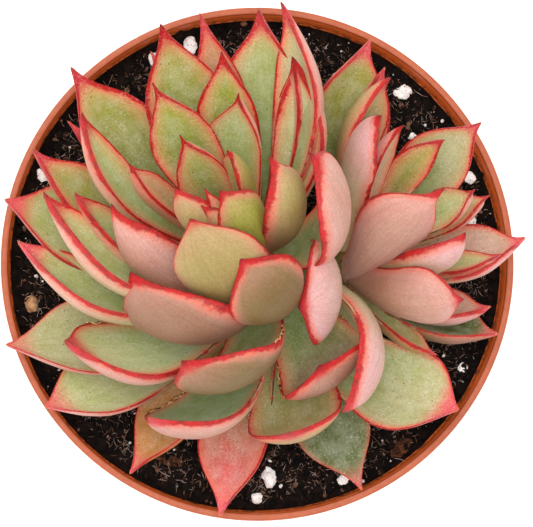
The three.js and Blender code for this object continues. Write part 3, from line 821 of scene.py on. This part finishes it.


# Rough matt materials: two clouded colours, cloud size and grain size in millimetres, grain depth in
# metres and roughness; then, where there are any, the colour of darker pits and the strength of a painted
# glow
ROUGH_LOOKS = {
    "peat": ("peat", "peat_brown", 1.6, 0.28, 0.0005, 0.95),
    "peat_crumb": ("peat", "peat_brown", 3.0, 0.2, 0.0003, 0.9),
    "brown_crumb": ("peat_brown", "fibre_brown", 1.5, 0.2, 0.0003, 0.9),
    "white_speck": ("perlite", "fibre_pale", 1.2, 0.2, 0.0002, 0.9),
    "fibre_brown": ("fibre_brown", "peat_brown", 2.0, 0.2, 0.00005, 0.8),
    "fibre_pale": ("fibre_pale", "fibre_brown", 2.0, 0.2, 0.00005, 0.8),
    "perlite_grain": ("perlite", (0.84, 0.83, 0.80), 1.4, 0.3, 0.0003, 0.85, "fibre_brown", 0.22),
    "tan_pebble": ("pebble", "fibre_brown", 1.3, 0.3, 0.0002, 0.7, "fibre_brown"),
    "bark_chip": ("bark", "peat_brown", 0.9, 0.25, 0.0005, 0.9),
    "stem_bark": ("umber", "fern", 2.0, 0.3, 0.0003, 0.8),
    "husks_dark": ("bark", "amber", 1.0, 0.2, 0.00005, 0.7),
    "husks_pale": ("husk", "amber", 1.0, 0.2, 0.00005, 0.7),
}


def rough_material(name, settings):
    """One of the rough matt materials, with its colours from the settings."""
    main, clouds, size, grain_size, grain_depth, roughness, *rest = ROUGH_LOOKS[name]
    pits, glow = (*rest, None, None)[:2]
    main, clouds = (getattr(settings, c) if isinstance(c, str) else c for c in (main, clouds))
    material, w, shader = new_material(name)
    place = w.place()
    base = w.group("Mottle", place=place, colour=main, clouds=clouds, size=size, amount=0.9)["Colour"]
    if pits:
        base = w.group("Specks", place=place, colour=base, spots=getattr(settings, pits), spacing=0.8,
                       radius=0.26, share=0.35, amount=0.8)["Colour"]
    w.join(shader.inputs["Base Color"], base)
    # A glow here is painted light that brightens the look, as on the perlite
    if glow:
        w.join(shader.inputs["Emission Color"], base)
        preset(shader, {"Emission Strength": glow})
    preset(shader, {"Roughness": roughness, "Specular IOR Level": 0.2})
    bumped(w, shader, w.group("Grain", place=place, size=grain_size, coarse=1.0)["Height"], 0.8, grain_depth)
    return material


def soil_height(x, y):
    """Height of the packed soil at x, y in millimetres."""
    dish = SOIL_DISH / MM * (np.hypot(x, y) / (RIM_RADIUS / MM)) ** 2 - SOIL_DISH / MM
    lumps = (0.28 * np.sin(0.31 * x + 1.3) * np.cos(0.27 * y - 0.4)
             + 0.16 * np.sin(0.83 * x - 0.61 * y))
    return SOIL_LEVEL / MM + dish + lumps


def body_radius(z):
    """Outer radius of the pot's body below the collar, at a height in metres."""
    top = RIM_RADIUS - COLLAR_STEP
    return BASE_RADIUS + (top - BASE_RADIUS) * z / (POT_HEIGHT - COLLAR_HEIGHT)


class ECHEVERIA_OT_pot(bpy.types.Operator):
    """Spins the pot from its profile and cuts the drain holes"""

    bl_idname = "echeveria.pot"
    bl_label = "Pot"

    def execute(self, context):
        settings = context.scene.echeveria_pot
        collar_foot = settings.height - settings.collar_height
        inside = settings.rim_radius - COLLAR_WALL
        wall_top = body_radius(collar_foot)
        edge, base = EDGE_ROUND, settings.base_radius
        profile = [
            (0, FOOT_HOLLOW), (base - FOOT_RING, FOOT_HOLLOW), (base - FOOT_RING - FOOT_SLOPE, 0),
            (base - edge, 0), (base, edge),
            (wall_top, collar_foot), (settings.rim_radius - edge, collar_foot),
            (settings.rim_radius, collar_foot + edge),
            (settings.rim_radius, settings.height - edge),
            (settings.rim_radius - 0.3 * edge, settings.height - 0.3 * edge),
            (settings.rim_radius - edge, settings.height),
            (inside + edge, settings.height), (inside + 0.3 * edge, settings.height - 0.3 * edge),
            (inside, settings.height - edge), (inside, collar_foot + COLLAR_WALL),
            (wall_top - BODY_WALL, collar_foot),
            (body_radius(FLOOR_WALL) - BODY_WALL, FLOOR_WALL), (0, FLOOR_WALL),
        ]
        pot = started("pot_shell", bpy.ops.mesh.primitive_plane_add, size=MM)
        mode("EDIT")
        bpy.ops.mesh.select_all(action="SELECT")
        bpy.ops.mesh.merge(type="CENTER")
        bpy.ops.transform.translate(value=(profile[0][0], 0, profile[0][1]))
        for (r0, z0), (r1, z1) in zip(profile, profile[1:]):
            bpy.ops.mesh.extrude_region_move(TRANSFORM_OT_translate={"value": (r1 - r0, 0, z1 - z0)})
        bpy.ops.mesh.select_all(action="SELECT")
        bpy.ops.mesh.spin(steps=POT_STEPS, angle=2 * math.pi, center=(0, 0, 0), axis=(0, 0, 1))
        mode("OBJECT")
        welded(pot, 1e-5)
        cutters = []
        for k in range(DRAIN_HOLES):
            turn = 2 * math.pi * (k + 0.5) / DRAIN_HOLES
            cutters.append(started(
                "drain_cutter", bpy.ops.mesh.primitive_cylinder_add, vertices=24,
                radius=DRAIN_HOLE_RADIUS, depth=6 * FLOOR_WALL,
                location=(DRAIN_RING_RADIUS * math.cos(turn), DRAIN_RING_RADIUS * math.sin(turn), 0)))
        cutter = joined("drain_cutter", cutters)
        modified(pot, "BOOLEAN", object=cutter, operation="DIFFERENCE", solver="EXACT")
        bpy.data.objects.remove(cutter)
        chosen(pot)
        bpy.ops.object.shade_smooth_by_angle(angle=math.radians(38))
        finished(pot, plastic_material(settings), "terracotta_plastic", "pot")
        return {"FINISHED"}


def disc_places(places):
    """Turns a square from -1 to 1 into a disc of radius 1, cell by cell."""
    x, y = places[:, 0], places[:, 1]
    wide = np.abs(x) > np.abs(y)
    radius = np.where(wide, x, y)
    with np.errstate(divide="ignore", invalid="ignore"):
        turn = np.where(wide, np.pi / 4 * y / x, np.pi / 2 - np.pi / 4 * x / y)
    turn = np.nan_to_num(turn)
    return np.stack([radius * np.cos(turn), radius * np.sin(turn)], -1)


class ECHEVERIA_OT_soil(bpy.types.Operator):
    """Lays the crumbly soil bed down to the pot's floor"""

    bl_idname = "echeveria.soil"
    bl_label = "Soil bed"

    def execute(self, context):
        settings = context.scene.echeveria_soil
        bed = started("soil_bed", bpy.ops.mesh.primitive_grid_add,
                      x_subdivisions=SOIL_CELLS, y_subdivisions=SOIL_CELLS, size=2)
        flat = disc_places(read_places(bed.data))
        border = np.hypot(flat[:, 0], flat[:, 1]) > 0.9999
        plan = flat * SOIL_EDGE / MM
        ground = np.c_[plan, np.zeros(len(plan))]
        lumps = 0.55 * rough(ground, 2.6, 1) + 0.42 * np.abs(rough(ground, 1.1, 2))
        height = soil_height(plan[:, 0], plan[:, 1]) + lumps
        write_places(bed.data, np.c_[plan, height] * MM)
        for vertex in bed.data.vertices:
            vertex.select = bool(border[vertex.index])
        for edge in bed.data.edges:
            edge.select = bool(border[edge.vertices[0]] and border[edge.vertices[1]])
        for face in bed.data.polygons:
            face.select = False
        mode("EDIT")
        bpy.ops.mesh.select_mode(type="EDGE")
        bpy.ops.mesh.extrude_edges_move(TRANSFORM_OT_translate={"value": (0, 0, -2 * MM)})
        shoulder = POT_HEIGHT - COLLAR_HEIGHT
        foot = FLOOR_WALL + 0.3 * MM
        for radius, drop in ((body_radius(shoulder) - 2 * BODY_WALL, 0.5 * MM),
                             (body_radius(foot) - BODY_WALL - 0.3 * MM, shoulder - foot)):
            bpy.ops.mesh.extrude_edges_move(TRANSFORM_OT_translate={"value": (0, 0, -drop)})
            mode("OBJECT")
            for vertex in bed.data.vertices:
                if vertex.select:
                    flat_part = Vector((vertex.co.x, vertex.co.y)).normalized() * radius
                    vertex.co.x, vertex.co.y = flat_part
            mode("EDIT")
        mode("OBJECT")
        for vertex in bed.data.vertices:
            if vertex.select:
                vertex.co.z = foot
        mode("EDIT")
        bpy.ops.mesh.edge_face_add()
        bpy.ops.mesh.select_all(action="SELECT")
        bpy.ops.mesh.normals_make_consistent(inside=False)
        mode("OBJECT")
        bpy.ops.object.shade_smooth()
        finished(bed, rough_material("peat", settings), "potting_soil", "soil")
        return {"FINISHED"}


def craggy(piece, depth, size, seed):
    """Roughens a piece along its normals; depth and size in millimetres."""
    places = read_places(piece.data)
    normals = np.array([v.normal for v in piece.data.vertices])
    shift = depth * rough(places / MM, size, seed) + 0.5 * depth * rough(places / MM, size * 0.45, seed + 5)
    write_places(piece.data, places + normals * shift[:, None] * MM)


def scattered(name, templates, spots):
    """One mesh of many small copies; each spot is a template number and a matrix."""
    verts, faces, start = [], [], 0
    shapes = [(read_places(t.data), [list(f.vertices) for f in t.data.polygons]) for t in templates]
    for kind, matrix in spots:
        places, polygons = shapes[kind]
        turned = places @ np.array(matrix.to_3x3()).T + np.array(matrix.translation)
        verts.append(turned)
        faces.extend([[i + start for i in polygon] for polygon in polygons])
        start += len(places)
    mesh = bpy.data.meshes.new(name)
    mesh.from_pydata(np.concatenate(verts).tolist(), [], faces)
    piece = placed(name, mesh)
    for template in templates:
        bpy.data.objects.remove(template)
    return piece


def crumb_templates(count, seed, depth):
    """Small rough balls of radius one."""
    made = []
    for k in range(count):
        ball = started("crumb", bpy.ops.mesh.primitive_ico_sphere_add, subdivisions=1, radius=1)
        places = read_places(ball.data)
        shift = rough(places * 3, 1.3, seed + k)
        write_places(ball.data, places * (1 + depth * shift[:, None]))
        made.append(ball)
    return made


def resting_matrix(dice, x, y, size, sink):
    """A random turn and unequal size at a spot on the soil, in metres."""
    turn = Matrix.Rotation(dice.uniform(0, 6.283), 4, "Z") @ Matrix.Rotation(dice.uniform(-0.6, 0.6), 4, "X")
    stretch = Matrix.Diagonal((size * dice.uniform(0.7, 1.35), size * dice.uniform(0.7, 1.1),
                               size * dice.uniform(0.55, 0.9), 1))
    height = (float(soil_height(x, y)) + sink) * MM
    return Matrix.Translation((x * MM, y * MM, height)) @ turn @ stretch


def soil_spots(dice, count, smallest, largest, sink):
    """Random resting places over the soil, more of them where it shows."""
    spots = []
    while len(spots) < count:
        radius = LITTER_EDGE * math.sqrt(dice.uniform(0.02, 1))
        turn = dice.uniform(0, 2 * math.pi)
        if radius < HIDDEN_CIRCLE and dice.random() < 0.6:
            continue
        size = (smallest + (largest - smallest) * dice.random() ** 2.2) * MM
        x, y = radius * math.cos(turn), radius * math.sin(turn)
        spots.append((dice.randrange(4), resting_matrix(dice, x, y, size, sink + 0.3 * size / MM)))
    return spots


def strands(name, paths, thickness):
    """Fine round strands through the given points, as one mesh."""
    curve = bpy.data.curves.new(name, "CURVE")
    curve.dimensions = "3D"
    curve.bevel_depth = thickness * MM
    curve.bevel_resolution = 0
    curve.use_fill_caps = True
    for path, weight in paths:
        spline = curve.splines.new("POLY")
        spline.points.add(len(path) - 1)
        for k, (point, spot) in enumerate(zip(spline.points, path)):
            point.co = (spot[0] * MM, spot[1] * MM, spot[2] * MM, 1)
            point.radius = weight * (0.35 if k in (0, len(path) - 1) else 1)
    chosen(placed(name, curve))
    bpy.ops.object.convert(target="MESH")
    piece = bpy.context.active_object
    piece.data.name = name
    return piece


def fibre_path(dice, x, y, reach, lift, points=4, bend=0.5, heading=None):
    """A loosely bent line over the soil, in millimetres."""
    turn = dice.uniform(0, 2 * math.pi) if heading is None else heading
    curve = dice.uniform(-bend, bend)
    path = []
    for k in range(points):
        share = k / (points - 1)
        height = float(soil_height(x, y)) + 0.45 + lift * math.sin(math.pi * share) * dice.uniform(0.6, 1.2)
        path.append((x, y, height))
        turn += curve + dice.uniform(-0.25, 0.25)
        x += reach / (points - 1) * math.cos(turn)
        y += reach / (points - 1) * math.sin(turn)
    return path


# Long pale root hairs on the soil: start x, y in millimetres, heading in radians, length
ROOT_HAIRS = [
    (-22.6, -43.4, -0.42, 7.4),
    (-33.0, 37.6, 0.9, 5.0),
    (-31.0, 36.4, 2.4, 4.2),
    (33.2, 39.4, -0.7, 5.2),
    (-47.5, -12.5, 1.3, 4.6),
    (29.0, -42.0, 0.3, 5.6),
]


# Name, seed and roughness of the shapes, smallest and largest radius and sink in millimetres, look, slot
CRUMBS = [
    ("peat_crumbs", 10, 0.35, 0.28, 1.15, 0.35, "peat_crumb", "potting_soil"),
    ("brown_crumbs", 20, 0.35, 0.2, 0.8, 0.5, "brown_crumb", "potting_soil"),
    ("white_specks", 30, 0.3, 0.12, 0.5, 0.65, "white_speck", "perlite"),
]
# Name, thickness in millimetres, look
FIBRES = [("fibres_brown", 0.060, "fibre_brown"), ("fibres_pale", 0.045, "fibre_pale")]


class ECHEVERIA_OT_litter(bpy.types.Operator):
    """Strews crumbs, fibres and white specks over the soil"""

    bl_idname = "echeveria.litter"
    bl_label = "Loose litter"

    def execute(self, context):
        settings = context.scene.echeveria_soil
        dice = random.Random(settings.seed)
        counts = (settings.crumbs, settings.crumbs // 6, settings.specks)
        for count, (name, seed, depth, smallest, largest, sink, look, slot) in zip(counts, CRUMBS):
            templates = crumb_templates(4, seed, depth)
            piece = scattered(name, templates, soil_spots(dice, count, smallest, largest, sink))
            finished(piece, rough_material(look, settings), slot)
        for name, thickness, look in FIBRES:
            paths = []
            while len(paths) < settings.fibres / len(FIBRES):
                radius = FIBRE_EDGE * math.sqrt(dice.uniform(0.1, 1))
                turn = dice.uniform(0, 2 * math.pi)
                reach = 0.35 + 1.9 * dice.random() ** 2
                path = fibre_path(dice, radius * math.cos(turn), radius * math.sin(turn), reach,
                                  dice.uniform(0.1, 0.8))
                if max(math.hypot(p[0], p[1]) for p in path) < LITTER_EDGE:
                    paths.append((path, dice.uniform(0.6, 1.4)))
            if name == "fibres_pale":
                paths.extend((fibre_path(dice, x, y, reach, 0.5, 9, 0.08, heading), 1.3)
                             for x, y, heading, reach in ROOT_HAIRS)
            finished(strands(name, paths, thickness), rough_material(look, settings), "potting_soil")
        return {"FINISHED"}


GRAIN_SMOOTHING = 3
# Name, start of its nodes' names, roughness and its size in millimetres, seed, look, slot
GRAINS = [
    ("perlite_grains", "perlite_", 0.50, 1.5, 3, "perlite_grain", "perlite"),
    ("tan_pebble", "pebble", 0.12, 1.4, 4, "tan_pebble", "tan_stone"),
    ("bark_chips", "bark_chip_", 0.5, 0.8, 5, "bark_chip", "bark"),
]


def refined(name, sources, depth, size, seed):
    """One finer copy of some grains of the frame, a little rougher."""
    made = [placed(name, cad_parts[node].data.copy()) for node in sources]
    for copy in made:
        copy.data.materials.clear()
    piece = joined(name, made)
    welded(piece, 1e-5)
    modified(piece, "SUBSURF", levels=GRAIN_SMOOTHING, render_levels=GRAIN_SMOOTHING)
    craggy(piece, depth, size, seed)
    chosen(piece)
    bpy.ops.object.shade_smooth()
    return piece


class ECHEVERIA_OT_grains(bpy.types.Operator):
    """Refines the perlite, the pebble and the bark chips"""

    bl_idname = "echeveria.grains"
    bl_label = "Grains"

    def execute(self, context):
        settings = context.scene.echeveria_soil
        for name, start, depth, size, seed, look, slot in GRAINS:
            nodes = sorted(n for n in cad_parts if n.startswith(start))
            piece = refined(name, nodes, depth, size, seed)
            finished(piece, rough_material(look, settings), slot, *nodes)
        return {"FINISHED"}


def leaf_axes(head, leaf):
    """Base, tip and the three directions of a leaf, in millimetres."""
    foot, crown = np.array(head["foot"], float), np.array(head["crown"], float)
    axis = unit(crown - foot)
    turn = math.radians(leaf.bearing)
    outward = np.array([math.cos(turn), math.sin(turn), 0])
    outward = unit(outward - outward.dot(axis) * axis)
    base = foot + (crown - foot) * leaf.place + outward * LEAF_INSET
    tip = np.array(leaf[2:5], float)
    along = unit(tip - base)
    plain = unit(np.cross(along, np.cross(axis, outward)))
    roll = math.radians(leaf.roll)
    upper = plain * math.cos(roll) + np.cross(along, plain) * math.sin(roll)
    return base, tip, along, upper, np.cross(along, upper)


def rib_places(base, tip, along, upper, curl, share):
    """Points and normals of a rib that turns more and more towards its tip."""
    fine = np.linspace(0, 1, RIB_STEPS + 1)
    angle = math.radians(curl) * ((fine[1:] + fine[:-1]) / 2) ** CURL_POWER
    x = np.concatenate([[0], np.cumsum(np.cos(angle))]) / RIB_STEPS
    y = np.concatenate([[0], np.cumsum(np.sin(angle))]) / RIB_STEPS
    scale = np.linalg.norm(tip - base) / math.hypot(x[-1], y[-1])
    tilt = math.atan2(y[-1], x[-1])
    flat_x = np.interp(share, fine, x) * scale
    flat_y = np.interp(share, fine, y) * scale
    forward = flat_x * math.cos(tilt) + flat_y * math.sin(tilt)
    up = flat_y * math.cos(tilt) - flat_x * math.sin(tilt)
    heading = math.radians(curl) * share ** CURL_POWER - tilt
    places = base + forward[:, None] * along + up[:, None] * upper
    normals = np.cos(heading)[:, None] * upper - np.sin(heading)[:, None] * along
    return places, normals


def leaf_surface(head, leaf, share, across, side, seed):
    """Points of a leaf's skin, in millimetres, by their share along it and across it."""
    base, tip, along, upper, sideways = leaf_axes(head, leaf)
    places, normals = rib_places(base, tip, along, upper, leaf.curl, share)
    outline = ((1 - leaf.broad) * smooth_read(POINTED_OUTLINE, share)
               + leaf.broad * smooth_read(BROAD_OUTLINE, share))
    half = leaf.width / 2 * outline
    deep = np.minimum(leaf.thickness * smooth_read(THICKNESS_OUTLINE, share), 1.8 * half)
    swell = deep * np.abs(side) ** 1.15
    lift = leaf.cup * half * across ** 2 + np.where(side > 0, FACE_BULGE * swell, -BACK_BULGE * swell)
    ripple = np.stack([share * 5, across * 0.6 + seed, np.full_like(share, seed * 3.7)], -1)
    wave = rough(ripple, 1, seed)
    lift += 0.35 * wave * across ** 2 * smooth_step(share, 0.25, 0.6) * (1 - smooth_step(share, 0.85, 1))
    shift = half * across * (1 + 0.02 * wave) + leaf.sway * np.sin(np.pi * share ** 1.3)
    return places + shift[:, None] * sideways + lift[:, None] * normals


def grown_leaf(blank, name, head, leaf, skin, seed):
    """A copy of the blank, laid round one leaf, with what its material reads."""
    mesh = blank.data.copy()
    sheet = read_places(mesh)
    turn = (sheet[:, 0] + 1) * math.pi
    row_share = (sheet[:, 1] + 1) / 2
    # The first row closes the base, and the others crowd towards the tip
    share = 1 - (1 - np.clip((row_share * LEAF_ROWS - 1) / (LEAF_ROWS - 1), 0, 1)) ** 1.2
    closed = (row_share < 0.5 / LEAF_ROWS) | (row_share > 1 - 0.5 / LEAF_ROWS)
    side = np.where(closed, 0, np.sin(turn))
    across = np.where(closed, 0, -np.cos(turn))
    zero = np.zeros_like(share)
    places = leaf_surface(head, leaf, share, across, side, seed)
    edges = [leaf_surface(head, leaf, share, zero + edge, zero, seed) for edge in (-1, 1)]
    write_places(mesh, places * MM)
    values = {
        "rib_share": share, "across": across, "face_side": side, "redness": leaf.redness,
        "rim_mm": np.min([np.linalg.norm(places - spot, axis=1) for spot in (*edges, leaf[2:5])], axis=0),
        "leaf_seed": (seed * 0.37) % 1,
        "dust": smooth_step(DUST_TOP - leaf.z, 0, DUST_DROP),
    }
    for label, value in values.items():
        write_value(mesh, label, value + zero)
    for label, tint in zip(("face_base", "face_end", "back_base", "back_end"), COMPLEXIONS[leaf.complexion]):
        write_colour(mesh, label, np.tile(np.array(getattr(skin, tint)), (len(share), 1)))
    return placed(name, mesh)


def leaf_group(name, head, rows, skin, first_seed):
    """A group of leaves of one head as one piece."""
    # The blank's columns go round a leaf and its rows go along it
    blank = started("leaf_blank", bpy.ops.mesh.primitive_grid_add,
                    x_subdivisions=LEAF_COLUMNS, y_subdivisions=LEAF_ROWS, size=2)
    leaves = [grown_leaf(blank, name, head, Leaf(*row), skin, first_seed + k) for k, row in enumerate(rows)]
    bpy.data.objects.remove(blank)
    piece = joined(name, leaves)
    welded(piece, 2e-6)
    bpy.ops.object.shade_smooth()
    return piece


# Of a stem: place along it and width of each ring, as shares
STEM_RINGS = ((0.25, 1.0), (0.5, 0.9), (0.8, 0.85), (1.0, 0.7))


def stem_piece(name, head):
    """A stem from its foot in the soil up to the crown."""
    foot, crown = Vector(head["foot"]) * MM, Vector(head["crown"]) * MM
    radius = head["stem"] * MM
    stem = started(name, bpy.ops.mesh.primitive_cylinder_add, vertices=32, radius=radius, depth=8 * MM,
                   location=(foot.x, foot.y, foot.z - 6 * MM))
    bpy.ops.object.transform_apply(location=True, rotation=True, scale=True)
    top = max(v.co.z for v in stem.data.vertices)
    for face in stem.data.polygons:
        face.select = face.center.z > top - 1e-5
    mode("EDIT")
    bpy.ops.mesh.select_mode(type="FACE")
    for share, size in STEM_RINGS:
        middle = foot.lerp(crown, share)
        bpy.ops.mesh.extrude_region_move(TRANSFORM_OT_translate={"value": (0, 0, 0.1 * MM)})
        mode("OBJECT")
        picked = [v for v in stem.data.vertices if v.select]
        centre = sum((v.co for v in picked), Vector()) / len(picked)
        for vertex in picked:
            vertex.co = middle + (vertex.co - centre) * size
        mode("EDIT")
    mode("OBJECT")
    bpy.ops.object.shade_smooth_by_angle(angle=math.radians(40))
    craggy(stem, 0.15, 1.5, 9)
    return stem


def leaf_skin_material(context):
    """The one skin that all leaves share."""
    return bpy.data.materials.get("leaf_skin") or leaf_material(context.scene.echeveria_leaf)


class ECHEVERIA_OT_main_head(bpy.types.Operator):
    """Grows the leaves and stem of the main rosette"""

    bl_idname = "echeveria.main_head"
    bl_label = "Main rosette"

    def execute(self, context):
        skin = context.scene.echeveria_leaf
        material = leaf_skin_material(context)
        seed = 1
        for name, rows in MAIN_GROUPS:
            piece = leaf_group(name, MAIN_HEAD, rows, skin, seed)
            finished(piece, material, "leaf", "rosette_main")
            seed += len(rows)
        stem = stem_piece("stem_main", MAIN_HEAD)
        finished(stem, rough_material("stem_bark", skin), "leaf")
        return {"FINISHED"}


class ECHEVERIA_OT_offset_head(bpy.types.Operator):
    """Grows the leaves and stem of the offset rosette"""

    bl_idname = "echeveria.offset_head"
    bl_label = "Offset rosette"

    def execute(self, context):
        skin = context.scene.echeveria_leaf
        piece = leaf_group("leaves_offset", OFFSET_HEAD, OFFSET_LEAVES, skin, OFFSET_SEED)
        finished(piece, leaf_skin_material(context), "leaf", "rosette_offset")
        stem = stem_piece("stem_offset", OFFSET_HEAD)
        finished(stem, bpy.data.materials["stem_bark"], "leaf")
        return {"FINISHED"}


class ECHEVERIA_OT_husks(bpy.types.Operator):
    """Lays crinkled threads of dried skin along some margins of the near leaves"""

    bl_idname = "echeveria.husks"
    bl_label = "Dried margins"

    def execute(self, context):
        skin = context.scene.echeveria_leaf
        dice = random.Random(HUSK_SEED)
        dark, pale = [], []
        first_seed = 1 + len(LOWER_LEAVES) + len(UPPER_LEAVES)
        for number, edge, start, end in DRIED_MARGINS:
            count = 10 + int(60 * (end - start))
            share = np.linspace(start, end, count)
            flat = np.zeros(count)
            leaf = Leaf(*NEAR_LEAVES[number])
            line = leaf_surface(MAIN_HEAD, leaf, share, flat + edge, flat, first_seed + number)
            for paths, spread, lift in ((dark, 0.16, 0.20), (pale, 0.30, 0.34), (dark, 0.34, 0.40)):
                jitter = [[dice.uniform(-spread, spread) for _ in range(3)] for _ in range(count)]
                path = [(x + dx, y + dy, z + dz + lift) for (x, y, z), (dx, dy, dz) in zip(line, jitter)]
                paths.append((path, dice.uniform(0.8, 1.3)))
        for name, paths, thickness in (("husks_dark", dark, 0.13), ("husks_pale", pale, 0.17)):
            finished(strands(name, paths, thickness), rough_material(name, skin), "leaf")
        return {"FINISHED"}


# Camera sensor in millimetres; the rim's radius and the picture's width in pixels
SENSOR = 36
RIM_PIXELS = 257.2
PICTURE_WIDTH = 533


def area_light(name, place, aim, size, power, tint=(1, 1, 1)):
    """A square soft light turned to a point."""
    lamp = bpy.data.lights.new(name, "AREA")
    lamp.shape = "SQUARE"
    lamp.size = size
    lamp.energy = power
    lamp.color = tint
    holder = placed(name, lamp)
    holder.location = place
    holder.rotation_mode = "QUATERNION"
    holder.rotation_quaternion = (Vector(aim) - Vector(place)).to_track_quat("-Z", "Y")


class ECHEVERIA_OT_stage(bpy.types.Operator):
    """Sets up the floor, the soft light and the camera"""

    bl_idname = "echeveria.stage"
    bl_label = "Stage"

    def execute(self, context):
        stage = context.scene.echeveria_stage
        floor = started("floor", bpy.ops.mesh.primitive_plane_add, size=8)
        material, _, shader = new_material("floor_paper")
        preset(shader, {
            "Base Color": (*stage.floor, 1), "Roughness": 0.9, "Specular IOR Level": 0.1,
            "Emission Color": (1, 1, 1, 1), "Emission Strength": 0.35})
        floor.data.materials.append(material)

        world = bpy.data.worlds.new("studio")
        world.use_nodes = True
        preset(world.node_tree.nodes["Background"], {"Color": (1, 1, 1, 1), "Strength": 1.0})
        context.scene.world = world
        middle = (0, 0, POT_HEIGHT)
        area_light("key_light", (-0.45, 0.5, 1.1), middle, 0.6, 3.8, (1, 0.985, 0.96))
        area_light("top_light", (-0.05, -0.05, 1.35), middle, 0.6, 6.4)

        rim = Vector((0, 0, POT_HEIGHT))
        back = Vector((math.sin(stage.tilt) * math.cos(stage.bearing),
                       math.sin(stage.tilt) * math.sin(stage.bearing), math.cos(stage.tilt)))
        spot = rim + back * stage.distance
        # The rim's middle is a little left of the picture's
        aim = rim + Vector((1.6, -0.1, 0)) * MM
        forward = (aim - spot).normalized()
        right = forward.cross(Vector((0, 1, 0))).normalized()
        up = right.cross(forward)
        camera = placed("camera", bpy.data.cameras.new("camera"))
        turn = Matrix((right, up, -forward)).transposed()
        camera.matrix_world = Matrix.Translation(spot) @ turn.to_4x4()
        camera.data.sensor_width = SENSOR
        camera.data.lens = SENSOR * RIM_PIXELS * stage.distance / RIM_RADIUS / PICTURE_WIDTH
        camera.data.clip_start, camera.data.clip_end = 0.01, 20
        context.scene.camera = camera
        context.scene.view_settings.view_transform = "Standard"
        return {"FINISHED"}


class ECHEVERIA_PT_panel(bpy.types.Panel):
    """Lists the steps that build the potted plant"""

    bl_idname = "ECHEVERIA_PT_panel"
    bl_label = "Potted Echeveria"
    bl_space_type = "VIEW_3D"
    bl_region_type = "UI"
    bl_category = "Echeveria"

    def draw(self, context):
        for step in STEPS:
            self.layout.operator(step.bl_idname)


STEPS = (
    ECHEVERIA_OT_pot, ECHEVERIA_OT_soil, ECHEVERIA_OT_litter, ECHEVERIA_OT_grains,
    ECHEVERIA_OT_main_head, ECHEVERIA_OT_offset_head, ECHEVERIA_OT_husks, ECHEVERIA_OT_stage,
)
SETTINGS = {
    "echeveria_pot": PotSettings,
    "echeveria_soil": SoilSettings,
    "echeveria_leaf": LeafSettings,
    "echeveria_stage": StageSettings,
}
CLASSES = (*SETTINGS.values(), *STEPS, ECHEVERIA_PT_panel)


def register():
    """Registers the classes and their settings on the scene."""
    for item in CLASSES:
        bpy.utils.register_class(item)
    for name, group in SETTINGS.items():
        setattr(bpy.types.Scene, name, bpy.props.PointerProperty(type=group))


def unregister():
    """Removes the settings and the classes."""
    for name in SETTINGS:
        delattr(bpy.types.Scene, name)
    for item in reversed(CLASSES):
        bpy.utils.unregister_class(item)


def main():
    """Builds everything in order."""
    register()
    bpy.ops.echeveria.pot()
    bpy.ops.echeveria.soil()
    bpy.ops.echeveria.litter()
    bpy.ops.echeveria.grains()
    bpy.ops.echeveria.main_head()
    bpy.ops.echeveria.offset_head()
    bpy.ops.echeveria.husks()
    bpy.ops.echeveria.stage()
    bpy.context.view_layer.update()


if __name__ == "__main__":
    main()
